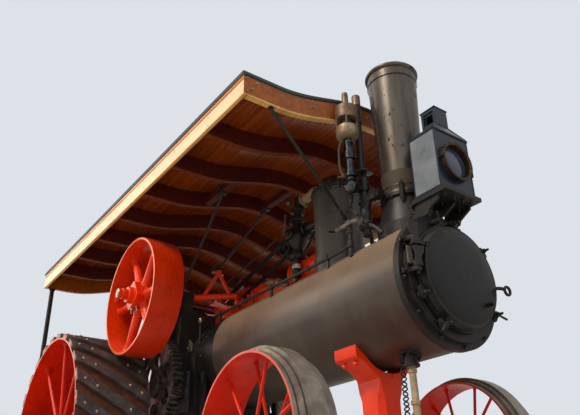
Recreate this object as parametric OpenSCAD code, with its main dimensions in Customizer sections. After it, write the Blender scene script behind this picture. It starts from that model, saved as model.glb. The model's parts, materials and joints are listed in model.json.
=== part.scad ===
// Steam traction engine, built up from its real pieces.
// Lengths are millimetres. +X points forward, +Y to the engine's left, +Z up.
// Places along X are first counted from the front axle, and then shifted so that
// the origin lies on the ground under the middle of the whole engine.

/* [Boiler] */
// Height of the boiler's centre line above the ground
boiler_z = 1400; // [1360:10:1460]
// Radius of the lagged barrel
barrel_r = 400; // [380:5:410]
// Front end of the smokebox, ahead of the front axle
smokebox_front = 713; // [680:1:760]
// Length of the smokebox
smokebox_len = 640; // [560:10:700]
// Length of the lagged barrel behind the smokebox
lagging_len = 1590; // [1500:10:1620]
// Thickness of the lagging over the bare shell
lagging_t = 22; // [12:1:30]
// Length of the bare shell between the lagging and the firebox
throat_len = 210; // [160:10:260]
// Length of the firebox
firebox_len = 900; // [820:10:920]
// Height of the firebox's bottom edge above the ground
firebox_bottom = 640; // [600:10:700]
// Depth of the ash pan
ash_pan_h = 170; // [120:10:220]
// How far the ash pan is set in from the firebox's sides
ash_pan_inset = 40; // [20:5:80]
// Width of the front ring's face
ring_w = 86; // [70:1:100]
// How far the front ring stands out past the shell
ring_lip = 16; // [8:1:24]
// Length of the front ring along the boiler
ring_len = 42; // [30:1:60]

/* [Smokebox door] */
// Radius of the door
door_r = 325; // [310:5:328]
// Thickness of the door's flat rim
door_t = 20; // [16:1:26]
// Height of the door's sloping side, in front of its rim
door_side = 44; // [36:1:54]
// How far the door's middle bulges out past its side
door_bulge = 14; // [8:1:20]
// Distance of the hinge pin from the boiler's centre line
door_hinge_y = 346; // [345:1:360]
// Height of the middle of the hinge above the boiler's centre line
door_hinge_up = 75; // [0:5:80]
// Radius of the door's hinge pin
door_pin_r = 11; // [8:1:14]

/* [Fire door] */
// Width of the fire door
fire_door_w = 330; // [260:10:380]
// Height of the fire door
fire_door_h = 280; // [220:10:320]
// Height of the fire door's middle above the ground
fire_door_z = 1180; // [1140:10:1240]

/* [Chimney and dome] */
// Distance of the chimney ahead of the front axle
chimney_x = 443; // [400:1:480]
// Height of the chimney's top above the ground
chimney_top = 3084; // [2950:1:3200]
// Radius at the chimney's foot
chimney_foot_r = 135; // [120:1:150]
// Radius at the chimney's mouth
chimney_mouth_r = 178; // [160:1:190]
// Wall of the chimney
chimney_wall = 6; // [4:1:10]
// Height of the cast base's top flange above the boiler's centre line
chimney_base_h = 655; // [620:5:700]
// Distance of the dome behind the front axle
dome_x = 235; // [215:1:260]
// Radius of the dome's jacket
dome_r = 183; // [160:1:200]
// Height of the dome's top flange above the boiler's centre line
dome_h = 970; // [900:5:1000]

/* [Headlamp] */
// Width of the lamp's box
lamp_w = 310; // [280:5:340]
// Depth of the lamp's box, front to back
lamp_d = 210; // [180:5:240]
// Height of the lamp's box
lamp_h = 425; // [380:5:460]
// Radius of the lamp's glass
lens_r = 118; // [90:1:130]
// Distance of the lamp's back ahead of the front axle
lamp_back_x = 668; // [660:1:690]
// Height of the lamp's shelf above the boiler's centre line
lamp_shelf_h = 512; // [490:1:540]

/* [Engine] */
// Height of the crankshaft above the lagging's top
crank_rise = 125; // [122:1:150]
// Distance of the crankshaft behind the front axle
crank_x = 1911; // [1890:1:1930]
// Distance of the engine's centre line to the left of the boiler's
engine_y = 60; // [52:1:64]
// Half of the piston's stroke
crank_throw = 102; // [90:1:104]
// Length of the connecting rod between its two pins
rod_len = 400; // [380:5:420]
// Radius of the crankshaft
crankshaft_r = 38; // [32:1:42]
// Radius of the crank disc
crank_disc_r = 140; // [136:1:141]
// Outer radius of the cylinder's lagging
cylinder_r = 118; // [105:1:120]
// Length of the cylinder
cylinder_len = 360; // [320:5:380]
// Distance of the cylinder's rear cover behind the front axle
cylinder_back_x = 800; // [780:1:820]
// Radius of the flywheel
flywheel_r = 508; // [480:1:520]
// Width of the flywheel's rim
flywheel_w = 260; // [220:5:270]
// Distance of the flywheel's outer face from the centre line
flywheel_face_y = 935; // [920:1:960]
// Thickness of the flywheel's rim
flywheel_rim_t = 24; // [18:1:32]
// How much lower the rim's edges are than its middle
flywheel_crown = 5; // [0:1:8]
// Number of flywheel spokes
flywheel_spokes = 6; // [5:1:8]

/* [Gearing] */
// Gear module, the pitch diameter divided by the teeth
gear_module = 14; // [14:1:14]
// Width of the gears' faces
gear_w = 78; // [60:1:82]
// Distance of the gears' outer faces from the centre line
gear_face_y = 610; // [600:1:612]
// Angle of the line from the rear axle to the lower gear, above level
lower_gear_angle = 21.5; // [20:0.5:23]

/* [Rear wheels] */
// Distance between the front and rear axles
wheelbase = 2866; // [2850:1:2900]
// Radius of a rear wheel's tread plate, without the lugs
rear_rim_r = 838; // [800:1:845]
// Width of a rear wheel
rear_w = 610; // [560:5:610]
// Distance of a rear wheel's outer face from the centre line
rear_face_y = 1236; // [1236:1:1260]
// Thickness of a rear wheel's tread plate
rear_plate_t = 14; // [10:1:20]
// Height of the lugs
lug_h = 40; // [30:1:44]
// Width of a lug
lug_w = 92; // [70:1:100]
// Number of lugs on a wheel
lug_count = 26; // [22:1:28]
// Angle between a lug and the wheel's axis
lug_skew = 32; // [24:1:38]
// Radius of the rear axle
rear_axle_r = 62; // [55:1:68]
// Number of spokes in each row of a rear wheel
rear_spokes = 10; // [8:1:12]
// Radius of a rear spoke
rear_spoke_r = 17; // [12:1:20]

/* [Front wheels] */
// Radius of a front wheel over its raised middle band
front_r = 521; // [500:1:530]
// Height of each of the two steps of the raised band
front_step = 18; // [10:1:22]
// Width of a front wheel
front_w = 270; // [240:5:280]
// Distance of a front wheel's outer face from the centre line
front_face_y = 985; // [975:1:1010]
// Thickness of a front wheel's rim plate
front_plate_t = 14; // [10:1:18]
// Number of spokes in each row of a front wheel
front_spokes = 7; // [6:1:9]
// Radius of a front spoke
front_spoke_r = 10; // [8:1:13]
// Radius of the front axle's ends
front_axle_r = 34; // [28:1:38]
// Greatest steering angle each way
steer_max = 25; // [20:1:28]

/* [Front saddle] */
// Radius of the king pin
king_pin_r = 35; // [28:1:40]
// Distance of the king pin ahead of the front axle
saddle_x = 60; // [40:1:70]
// Length of the saddle along the boiler
saddle_len = 190; // [170:5:210]
// Width of the saddle's column across the engine
saddle_col_w = 178; // [170:2:200]
// Distance of the saddle's arms' ends from the centre line
saddle_arm_y = 265; // [255:5:280]
// Radius of the notch between the saddle and the boiler
saddle_notch_r = 250; // [240:5:255]

/* [Canopy] */
// Height of the roof's edge above the ground
eave_z = 2776; // [2700:1:2850]
// Half of the roof's width
roof_half_w = 1120; // [1080:5:1160]
// How far the crown stands above the edge
roof_rise = 152; // [120:1:180]
// Half of the width over which the roof rises
crown_half_w = 850; // [780:5:900]
// Front end of the roof, ahead of the front axle
roof_front = 207; // [190:1:230]
// How far the roof's rear end stands behind the rear wheels
roof_over = 271; // [240:1:290]
// Thickness of the roof's boards and sheet
roof_t = 28; // [20:1:40]
// Depth of the fascia boards and ribs, with the roof
fascia_h = 176; // [150:1:200]
// Thickness of the fascia boards and ribs
rib_t = 38; // [28:1:46]
// Number of bays between the ribs
bays = 8; // [8:1:8]
// Width of the short timbers that carry the stays
beam_w = 60; // [50:5:80]
// Radius of the canopy's posts
post_r = 24; // [18:1:28]
// Radius of the canopy's thin stays
stay_r = 11; // [8:1:14]

/* [Whistle] */
// Height of the whistle's valve above the ground
whistle_z = 2134; // [2100:1:2160]
// Length of the pipe between the valve and the whistle's bowl
whistle_pipe = 400; // [360:10:420]
// Radius of the whistle's bell
bell_r = 70; // [60:1:76]
// Height of the whistle's bell
bell_h = 146; // [130:1:160]
// Height of the whistle's bowl
bowl_h = 88; // [70:1:100]
// Gap between the bowl and the bell
bell_gap = 48; // [30:1:60]

/* [Platform] */
// Height of the platform's deck above the ground
deck_z = 690; // [670:5:700]
// Thickness of the deck
deck_t = 28; // [20:1:36]
// Half of the deck's width between the rear wheels
deck_half_w = 500; // [470:5:505]
// Rear end of the deck, behind the rear axle
deck_back = 1310; // [1290:5:1330]
// Height of the bunker and the water tank
tank_h = 760; // [700:10:820]
// Distance of the tanks' outer sides from the centre line
tank_out_y = 1005; // [980:5:1020]
// Distance of the tanks' inner sides from the centre line
tank_in_y = 330; // [300:5:360]
// Thickness of the bunker's plates
plate_t = 8; // [6:1:12]
// Radius of the hole for the drawbar's pin
drawbar_hole_r = 18; // [15:1:20]
// Thickness of the drawbar
drawbar_t = 36; // [30:1:45]

/* [Hidden] */

// Radial clearance of a shaft that turns in its hole
run_fit = 0.08;
// Gap between two curved faces that seat on each other
seat = 0.3;
// Gap between pieces that move past each other
move_gap = 8;
$fn = 64;

// Places along X, from the front axle
smokebox_back = smokebox_front - smokebox_len;
lagging_back = smokebox_back - lagging_len;
firebox_front = lagging_back - throat_len;
firebox_back = firebox_front - firebox_len;
shell_r = barrel_r - lagging_t;
firebox_half_w = shell_r;
rear_x = -wheelbase;
rear_tip_r = rear_rim_r + lug_h;
rear_z = rear_tip_r;
rear_in_y = rear_face_y - rear_w;
front_z = front_r;
front_in_y = front_face_y - front_w;
door_x = smokebox_front + 34;
lamp_front = lamp_back_x + lamp_d;
bezel_len = 34;
shelf_front = lamp_front + bezel_len;
deck_back_x = rear_x - deck_back;
drawbar_back_x = deck_back_x - 130;
crank_z = boiler_z + barrel_r + crank_rise;
knob_len = 34;
front_end = max(shelf_front, door_x + door_t + door_side + door_bulge + knob_len, front_r);
roof_back = rear_x - rear_tip_r - roof_over;
rear_end = min(drawbar_back_x, roof_back);
frame_shift = -(front_end + rear_end) / 2;

// Gear centres and teeth: each gear turns on a point [x, z] in the gears' plane
drive_teeth = 78;
lower_teeth = 53;
upper_teeth = 27;
pinion_teeth = 18;
drive_c = [rear_x, rear_z];
lower_c = drive_c + gear_module * (drive_teeth + lower_teeth) / 2
    * [cos(lower_gear_angle), sin(lower_gear_angle)];
pinion_c = [-crank_x, crank_z];
reach_a = gear_module * (pinion_teeth + upper_teeth) / 2;
reach_b = gear_module * (upper_teeth + lower_teeth) / 2;
span = norm(lower_c - pinion_c);
along = (reach_a * reach_a - reach_b * reach_b + span * span) / (2 * span);
across = sqrt(reach_a * reach_a - along * along);
to_lower = (lower_c - pinion_c) / span;
upper_c = pinion_c + along * to_lower + across * [to_lower[1], -to_lower[0]];

// Direction from one gear centre to another, in degrees
function heading(a, b) = atan2(b[1] - a[1], b[0] - a[0]);
// Turn of a gear that meshes with one already turned
function mesh_turn(turn, from, to, n_from, n_to) =
    heading(from, to) + 180 + 180 / n_to - (turn - heading(from, to)) * n_from / n_to;
drive_turn = 0;
lower_turn = mesh_turn(drive_turn, drive_c, lower_c, drive_teeth, lower_teeth);
upper_turn = mesh_turn(lower_turn, lower_c, upper_c, lower_teeth, upper_teeth);
pinion_turn = mesh_turn(upper_turn, upper_c, pinion_c, upper_teeth, pinion_teeth);

// Colours
black_iron = "#2b2a2c";
lagging_c = "#5a5450";
orange_red = "#c8401c";
deep_red = "#9c2a18";
wood_c = "#a5531f";
roof_c = "#3d4a48";
brass_c = "#b48a4a";
plate_c = "#4a4642";

// Moves what is drawn from the front axle to the engine's own origin
module place() translate([frame_shift, 0, 0]) children();

// Round bar along X, from x0 to x1
module bar_x(x0, x1, r) translate([x0, 0, 0]) rotate([0, 90, 0]) cylinder(h = x1 - x0, r = r);

// Round bar along Y, from y0 to y1
module bar_y(y0, y1, r) translate([0, y0, 0]) rotate([-90, 0, 0]) cylinder(h = y1 - y0, r = r);

// Round bar between two points
module bar(a, b, r) {
    d = b - a;
    translate(a) rotate([0, acos(d[2] / norm(d)), atan2(d[1], d[0])]) cylinder(h = norm(d), r = r);
}

// Box between two opposite corners
module block(low, high) translate(low) cube(high - low);

// Outline in the X-Z plane, given thickness from y0 to y1
module slab_y(y0, y1) translate([0, y1, 0]) rotate([90, 0, 0]) linear_extrude(y1 - y0) children();

// Outline in the Y-Z plane, given thickness from x0 to x1
module slab_x(x0, x1) translate([x0, 0, 0]) rotate([90, 0, 90]) linear_extrude(x1 - x0) children();

// Involute angle of a pressure angle, in radians
function involute(a) = tan(a) - a * PI / 180;
// Half of a tooth's angle at radius r, in degrees, with some backlash
function tooth_half(n, r, base) =
    90 * 0.88 / n + (involute(20) - involute(acos(min(1, base / r)))) * 180 / PI;

// Spur gear outline with a tooth on the +X side
module gear_outline(n) {
    pitch_r = gear_module * n / 2;
    base = pitch_r * cos(20);
    root = pitch_r - 1.2 * gear_module;
    tip = pitch_r + 0.92 * gear_module;
    low = max(root, base);
    rs = [root, for (i = [0:3]) low + (tip - low) * i / 3];
    union() {
        polygon([for (k = [0:n - 1], i = [0:9])
            let (up = i < 5, r = rs[up ? i : 9 - i], h = tooth_half(n, max(r, low), base),
                a = 360 * k / n + (up ? -h : h)) r * [cos(a), sin(a)]]);
    }
}

// Cast gear: toothed rim, web with a hub, and lightening holes if it is large
module gear(n, hub_r, bore_r, holes = 0) {
    pitch_r = gear_module * n / 2;
    rim_in = pitch_r - 3.4 * gear_module;
    webbed = rim_in > hub_r + 20;
    y0 = -gear_face_y;
    slab_y(y0, y0 + gear_w) difference() {
        gear_outline(n);
        circle(r = webbed ? rim_in : bore_r);
    }
    if (webbed) {
        slab_y(y0 + gear_w * 0.3, y0 + gear_w * 0.7) difference() {
            circle(r = rim_in + 2);
            circle(r = hub_r - 2);
            if (holes > 0) for (k = [0:holes - 1]) rotate(360 * (k + 0.5) / holes)
                translate([(rim_in + hub_r) / 2, 0]) circle(r = (rim_in - hub_r) * 0.3);
        }
        slab_y(y0, y0 + gear_w) difference() {
            circle(r = hub_r);
            circle(r = bore_r);
        }
    }
}

// Boiler

module boiler_barrel() color(lagging_c) place() translate([0, 0, boiler_z]) {
    bar_x(lagging_back, smokebox_back - seat, barrel_r);
    bar_x(firebox_front + seat, lagging_back, shell_r);
}

module smokebox() color(black_iron) place() translate([0, 0, boiler_z]) {
    difference() {
        union() {
            bar_x(smokebox_back, smokebox_front, barrel_r);
            bar_x(smokebox_front - ring_len, smokebox_front, barrel_r + ring_lip);
            bar_x(smokebox_front, door_x - 6, barrel_r - ring_w + 60);
        }
        bar_x(smokebox_front - 300, door_x, door_r - 25);
    }
    // Hinge lugs for the door, at the ring's right edge
    for (s = [-1, 1]) difference() {
        block([smokebox_front - 1, -door_hinge_y - 24, door_hinge_up + s * door_lug - 13],
            [door_x + door_pin_x + 16, -door_hinge_y + 16, door_hinge_up + s * door_lug + 13]);
        translate([door_x + door_pin_x, -door_hinge_y, door_hinge_up + s * door_lug - 20])
            cylinder(h = 40, r = door_pin_r + run_fit);
        bar_x(door_x - 6, door_x + 200, door_r + move_gap);
    }
}

// Places of the hinge's pin, lugs and knuckles, from the door's back and the hinge's middle
door_pin_x = 42;
door_lug = 96;
door_knuckle = 66;
dish_r = door_r - 30;
dish_steps = 8;
module smokebox_door() color(black_iron) place() translate([door_x, 0, boiler_z]) {
    // Flat rim, sloping side and slightly domed middle, turned from one outline
    rotate([0, 90, 0]) rotate_extrude() polygon(concat(
        [[0, 0], [door_r, 0], [door_r, door_t], [door_r - 14, door_t]],
        [for (i = [0:dish_steps]) let (a = 90 * i / dish_steps)
            [dish_r * cos(a), door_t + door_side + door_bulge * sin(a)]]));
    // Hinge pin, with a knuckle and a strap at each end
    translate([door_pin_x, -door_hinge_y, door_hinge_up]) {
        translate([0, 0, -130]) cylinder(h = 260, r = door_pin_r);
        for (s = [-1, 1]) translate([0, 0, s * door_knuckle - 12]) {
            cylinder(h = 24, r = door_pin_r + 8);
            block([-16, 0, 0], [14, door_hinge_y - dish_r + 50, 24]);
        }
    }
    // Knob at the right, below the middle
    face_x = door_t + door_side;
    rotate([-35, 0, 0]) translate([0, dish_r - 50, 0])
        bar_x(face_x - 4, face_x + door_bulge + knob_len - 4, 14);
}

module firebox() color(black_iron) place() difference() {
    union() {
        slab_x(firebox_back, firebox_front) union() {
            translate([0, boiler_z]) circle(r = firebox_half_w);
            translate([-firebox_half_w, firebox_bottom])
                square([2 * firebox_half_w, boiler_z - firebox_bottom]);
        }
        // Hinge lugs of the fire door
        for (s = [-1, 1]) block([firebox_back - 26, fire_hinge_y - 11, fire_door_z + s * fire_lug_z - 10],
            [firebox_back + 1, fire_hinge_y + 11, fire_door_z + s * fire_lug_z + 10]);
        // Foundation ring round the bottom edge
        block([firebox_back - 14, -firebox_half_w - 14, firebox_bottom],
            [firebox_front + 14, firebox_half_w + 14, firebox_bottom + 60]);
    }
    // Furnace, open at the fire hole
    block([firebox_back + 90, -firebox_half_w + 90, firebox_bottom - 1],
        [firebox_front - 90, firebox_half_w - 90, boiler_z + 130]);
    block([firebox_back - 20, -fire_door_w / 2 + 40, fire_door_z - fire_door_h / 2 + 40],
        [firebox_back + 120, fire_door_w / 2 - 40, fire_door_z + fire_door_h / 2 - 40]);
    translate([firebox_back - 15, fire_hinge_y, fire_door_z - fire_door_h])
        cylinder(h = 2 * fire_door_h, r = fire_pin_r + run_fit);
}

module ash_pan() color(plate_c) place() difference() {
    block([firebox_back + ash_pan_inset, -firebox_half_w + ash_pan_inset, firebox_bottom - ash_pan_h],
        [firebox_front - ash_pan_inset, firebox_half_w - ash_pan_inset, firebox_bottom]);
    block([firebox_back + ash_pan_inset + plate_t, -firebox_half_w + ash_pan_inset + plate_t,
        firebox_bottom - ash_pan_h + plate_t],
        [firebox_front - ash_pan_inset - plate_t, firebox_half_w - ash_pan_inset - plate_t,
        firebox_bottom + 1]);
}

fire_hinge_y = fire_door_w / 2 + 24;
fire_lug_z = fire_door_h / 2 - 24;
fire_pin_r = 8;
module fire_door() color(plate_c) place() translate([firebox_back, 0, fire_door_z]) {
    block([-24, -fire_door_w / 2, -fire_door_h / 2], [-6, fire_door_w / 2, fire_door_h / 2]);
    // Hinge pin, and the two knuckles that hold it between the lugs
    translate([-15, fire_hinge_y, -fire_door_h / 2]) cylinder(h = fire_door_h, r = fire_pin_r);
    for (s = [-1, 1]) block([-22, fire_door_w / 2 - 1, s * (fire_lug_z - 34) - 12],
        [-8, fire_hinge_y + 5, s * (fire_lug_z - 34) + 12]);
    block([-60, -fire_door_w / 2 + 30, -8], [-24, -fire_door_w / 2 + 46, 60]);
}

// Chimney, dome and lamp

module steam_dome() color("#4b4c4e") place() translate([-dome_x, 0, boiler_z]) {
    difference() {
        union() {
            translate([0, 0, barrel_r * 0.8]) cylinder(h = dome_h - barrel_r * 0.8, r = dome_r);
            translate([0, 0, barrel_r * 0.8]) cylinder(h = barrel_r * 0.2 + 62, r = dome_r + 14);
        }
        translate([dome_x, 0, 0]) bar_x(lagging_back - 10, smokebox_front, barrel_r + seat);
    }
    translate([0, 0, dome_h]) cylinder(h = 18, r = dome_r + 9);
    translate([0, 0, dome_h + 18]) cylinder(h = 34, r1 = dome_r - 22, r2 = dome_r - 70);
}

// Outer form of the chimney's base, grown by a gap for the pieces that seat on it
module chimney_base_form(grow = 0) translate([chimney_x, 0, boiler_z]) {
    translate([0, 0, barrel_r * 0.7]) cylinder(h = barrel_r * 0.3 + 36, r = chimney_foot_r + 66 + grow);
    translate([0, 0, barrel_r + 36]) cylinder(h = chimney_base_h - barrel_r - 36,
        r1 = chimney_foot_r + 60 + grow, r2 = chimney_foot_r + 4 + grow);
    translate([0, 0, chimney_base_h - 24]) cylinder(h = 24, r = chimney_foot_r + 28 + grow);
}

module chimney_base() color(black_iron) place() difference() {
    union() {
        chimney_base_form();
        // Boss for the exhaust pipe
        translate([chimney_x, 0, exhaust_z]) bar_y(0, exhaust_boss_y, exhaust_r + 14);
    }
    translate([0, 0, boiler_z]) bar_x(smokebox_back - 10, smokebox_front + 10, barrel_r + seat);
    translate([chimney_x, 0, boiler_z]) cylinder(h = chimney_base_h + 1, r = chimney_foot_r - chimney_wall);
}

chimney_foot_z = boiler_z + chimney_base_h;
module chimney() color("#5d5854") place() translate([chimney_x, 0, chimney_foot_z]) {
    h = chimney_top - chimney_foot_z;
    difference() {
        union() {
            cylinder(h = h, r1 = chimney_foot_r, r2 = chimney_mouth_r);
            cylinder(h = 16, r = chimney_foot_r + 26);
            translate([0, 0, h - 40]) rotate_extrude() translate([chimney_mouth_r - 2, 20]) circle(r = 16);
        }
        translate([0, 0, -1])
            cylinder(h = h + 2, r1 = chimney_foot_r - chimney_wall, r2 = chimney_mouth_r - chimney_wall);
    }
}

shelf_z = boiler_z + lamp_shelf_h;
module headlamp_bracket() color(black_iron) place() difference() {
    union() {
        block([lamp_back_x - 26, -lamp_w / 2 - 10, shelf_z - 26], [shelf_front, lamp_w / 2 + 10, shelf_z]);
        for (y = [-1, 0, 1] * (lamp_w / 2 - 14)) slab_y(y - 8, y + 8)
            polygon([[smokebox_front - 110, boiler_z + barrel_r * 0.8],
                [smokebox_front - 4, boiler_z + barrel_r * 0.8], [smokebox_front + 40, shelf_z - 96],
                [lamp_front - 40, shelf_z - 50],
                [lamp_front - 40, shelf_z - 20], [lamp_back_x - 26, shelf_z - 20]]);
    }
    translate([0, 0, boiler_z]) bar_x(smokebox_back, door_x + 1, barrel_r + ring_lip + seat);
    translate([chimney_x, 0, 0]) cylinder(h = shelf_z, r = chimney_foot_r + 70);
}

module headlamp() color("#3b4048") place() translate([lamp_back_x, 0, shelf_z]) {
    difference() {
        block([0, -lamp_w / 2, 0], [lamp_d, lamp_w / 2, lamp_h]);
        translate([lamp_d - 60, 0, lamp_h / 2]) rotate([0, 90, 0]) cylinder(h = 70, r = lens_r);
    }
    translate([lamp_d - 12, 0, lamp_h / 2]) rotate([0, 90, 0]) cylinder(h = 6, r = lens_r);
    difference() {
        translate([lamp_d, 0, lamp_h / 2]) rotate([0, 90, 0]) cylinder(h = bezel_len, r = lens_r + 14);
        translate([lamp_d - 1, 0, lamp_h / 2]) rotate([0, 90, 0]) cylinder(h = bezel_len + 2, r = lens_r);
    }
    translate([lamp_d / 2, 0, lamp_h]) {
        linear_extrude(height = 108, scale = 0.3) square([lamp_d, lamp_w], center = true);
        for (i = [-1, 1], j = [-1, 1]) translate([i * 38, j * 38, 70]) block([-9, -9, 0], [9, 9, 130]);
        block([-52, -52, 182], [52, 52, 200]);
    }
}

whistle_at = [280, -324];
valve_at = [100, -100];
bell_z = whistle_pipe + bowl_h + bell_gap - 6;
module whistle() color(brass_c) place() translate([whistle_at[0], whistle_at[1], whistle_z]) {
    cylinder(h = whistle_pipe, r = 24);
    translate([0, 0, whistle_pipe - 6]) cylinder(h = bowl_h * 0.4, r1 = 26, r2 = bell_r - 2);
    translate([0, 0, whistle_pipe + bowl_h * 0.3]) cylinder(h = bowl_h * 0.7, r = bell_r - 2);
    translate([0, 0, whistle_pipe + bowl_h]) cylinder(h = bell_gap, r = bell_r - 40);
    translate([0, 0, bell_z]) cylinder(h = bell_h, r = bell_r);
    translate([0, 0, bell_z + bell_h]) cylinder(h = bell_h * 0.6, r = bell_r - 44);
    sphere(r = 36);
    bar([0, 0, 0], [valve_at[0] - whistle_at[0], valve_at[1] - whistle_at[1], 0] * 0.9, 28);
}

module safety_valve() color(black_iron) place() difference() {
    translate([valve_at[0], valve_at[1], 0]) {
        translate([0, 0, boiler_z + barrel_r * 0.8]) cylinder(h = barrel_r * 0.2 + 420, r = 34);
        translate([0, 0, boiler_z + barrel_r - 20]) cylinder(h = 50, r = 62);
        translate([0, 0, whistle_z - 60]) cylinder(h = 120, r = 52);
        translate([0, 0, whistle_z + 60]) cylinder(h = 330, r = 28);
    }
    translate([0, 0, boiler_z]) bar_x(smokebox_back - 200, smokebox_front, barrel_r + seat);
    translate([whistle_at[0], whistle_at[1], whistle_z])
        bar([0, 0, 0], [valve_at[0] - whistle_at[0], valve_at[1] - whistle_at[1], 0] * 0.9001, 28 + seat);
}

// Gap between the dome and the governor
governor_gap = 302;
// Main steam pipe from the dome's lid back to the governor
dome_neck_z = boiler_z + dome_h + 52;
steam_pipe_z = dome_neck_z + 128;
governor_x = -dome_x - dome_r - governor_gap;
module steam_pipe() color(brass_c) place() {
    translate([-dome_x, 0, dome_neck_z]) cylinder(h = steam_pipe_z - dome_neck_z, r = 38);
    translate([-dome_x, 0, steam_pipe_z]) sphere(r = 46);
    translate([0, 0, steam_pipe_z]) bar_x(governor_x + 46, -dome_x, 36);
    translate([0, 0, steam_pipe_z]) bar_x(governor_x + 46, governor_x + 62, 52);
}

// Governor and throttle valve, standing between the steam pipe and the cylinder
governor_h = steam_pipe_z - crank_z;
module governor() color(black_iron) place() difference() {
    union() {
        translate([governor_x, 0, crank_z]) cylinder(h = steam_pipe_z - crank_z, r = 30);
        translate([governor_x, 0, steam_pipe_z]) sphere(r = 45.5);
        translate([governor_x, 0, crank_z + governor_h * 0.3]) cylinder(h = 130, r = 56);
        translate([governor_x, 0, crank_z + governor_h * 0.65]) cylinder(h = 90, r = 48);
        translate([0, 0, crank_z + governor_h * 0.5]) bar_x(governor_x, -dome_x - 60, 26);
    }
    translate([0, engine_y, crank_z]) bar_x(-cylinder_back_x - 100, 0, cylinder_r + seat);
    translate([-dome_x, 0, boiler_z]) cylinder(h = dome_h, r = dome_r + seat);
}

// Saddle, engine and crank

saddle_pivot_z = 650;
column_w = saddle_col_w / 2;
column_chamfer = 26;
arm_side = [[column_w, 860], [column_w, 930], [column_w + 23, 946], [column_w + 111, 1012],
    [saddle_arm_y, 1040], [saddle_arm_y, 1190]];
module front_saddle() color(orange_red) place() translate([saddle_x, 0, 0]) difference() {
    union() {
        // Arms, with a round notch between them
        slab_x(-saddle_len / 2, saddle_len / 2) polygon(concat(arm_side,
            [for (i = [len(arm_side) - 1:-1:0]) [-arm_side[i][0], arm_side[i][1]]]));
        // Column with chamfered corners
        translate([0, 0, saddle_pivot_z]) linear_extrude(300) {
            square([saddle_len - 8 - 2 * column_chamfer, saddle_col_w], center = true);
            polygon([for (a = [45:90:315], e = [1, -1]) let (d = a % 180 == 45 ? e : -e)
                [sign(cos(a)) * (saddle_len / 2 - 4 - (d > 0 ? 0 : column_chamfer)),
                sign(sin(a)) * (column_w - (d > 0 ? column_chamfer : 0))]]);
        }
        translate([0, 0, saddle_pivot_z]) cylinder(h = 60, r = saddle_len / 2 + 25);
    }
    translate([0, 0, boiler_z]) bar_x(-300, 300, barrel_r + seat);
    translate([0, 0, boiler_z - 185]) bar_x(-300, 300, saddle_notch_r);
    translate([0, 0, saddle_pivot_z - 1]) cylinder(h = 181, r = king_pin_r + run_fit);
}

rod_w = 50;
disc_t = 44;
disc_y1 = engine_y - rod_w / 2 - 5;
disc_y0 = disc_y1 - disc_t;
bearing_y = [disc_y0 - 18 - 100, disc_y0 - 18];
girder_y0 = engine_y - 75;
girder_y1 = engine_y + 75;
guide_bore_r = 62;
guide_r = 115;
guide_back = -crank_x + crank_disc_r + 190;
guide_front = guide_back + 250;
girder_front = guide_front + 330;
// Point where the two struts under the canopy's middle stay meet
strut_top = [-crank_x + 227, -200, crank_z + 298];
arm_z = crank_z + 47;
arm_from = [guide_back + 14, engine_y - 130, arm_z];
arm_to = [-crank_x + 75, -firebox_half_w - 30, arm_z];

module engine_frame() color(orange_red) place() difference() {
    union() {
        // Girder on the boiler's top, from the crosshead's guide to the cylinder
        slab_y(girder_y0, girder_y1) polygon([[guide_back - 20, boiler_z + barrel_r - 90],
            [guide_back - 20, crank_z - 40], [guide_back + 20, crank_z], [guide_front, crank_z + 60],
            [girder_front, crank_z - 35], [-cylinder_back_x, crank_z - 76],
            [-cylinder_back_x, boiler_z + barrel_r - 90]]);
        translate([0, engine_y, crank_z]) {
            bar_x(guide_back, guide_front, guide_r);
            bar_x(guide_back, guide_back + 28, guide_r + 35);
        }
        // Crank bearing beside the disc, on its pedestal
        slab_y(bearing_y[0], bearing_y[1]) polygon([[-crank_x - 150, boiler_z + shell_r * 0.6],
            [-crank_x - 80, crank_z + 66], [-crank_x + 80, crank_z + 66],
            [guide_back - 30, crank_z - 50], [guide_back + 10, crank_z - 50],
            [guide_back + 10, boiler_z + shell_r * 0.6]]);
        slab_y(bearing_y[1] - 1, girder_y1) polygon([[guide_back - 30, boiler_z + shell_r * 0.6],
            [guide_back - 30, crank_z - 60], [guide_back + 10, crank_z - 60],
            [guide_back + 10, boiler_z + shell_r * 0.6]]);
        // Arm to the outer bearing, and the struts under a stay of the canopy
        bar(arm_from, arm_to, 28);
        for (t = [0.14, 0.72]) bar(arm_from + t * (arm_to - arm_from), strut_top - [0, 0, 16], 16);
        translate(strut_top - [0, 0, 44]) cylinder(h = 44, r = 26);
        // Cylinder seat
        block([-cylinder_back_x, girder_y0 + 20, boiler_z + barrel_r - 90],
            [-cylinder_back_x + cylinder_len * 0.8, girder_y1 - 30, crank_z - cylinder_r * 0.5]);
    }
    translate([0, 0, boiler_z]) bar_x(lagging_back, smokebox_front, barrel_r + seat);
    translate([0, 0, boiler_z]) bar_x(firebox_back, lagging_back + 1, shell_r + seat);
    translate([-crank_x, 0, crank_z]) bar_y(bearing_y[0] - 1, bearing_y[1] + 1, crankshaft_r + run_fit);
    translate([0, engine_y, crank_z]) {
        bar_x(-cylinder_back_x - 30, 0, cylinder_r + seat);
        // Way for the crosshead and the rod
        bar_x(-crank_x, -cylinder_back_x + 1, guide_bore_r);
    }
    // Side windows of the guide
    block([guide_back + 60, girder_y0 - 60, crank_z - 42],
        [guide_front - 50, girder_y1 + 60, crank_z + 42]);
    translate([-crank_x, 0, crank_z]) bar_y(disc_y0 - move_gap, 200, crank_disc_r + 15);
    // The arm ends on the gear bracket's face
    block([-crank_x - 100, -firebox_half_w - 200, crank_z],
        [-crank_x + 200, -firebox_half_w, crank_z + 100]);
}

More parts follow.
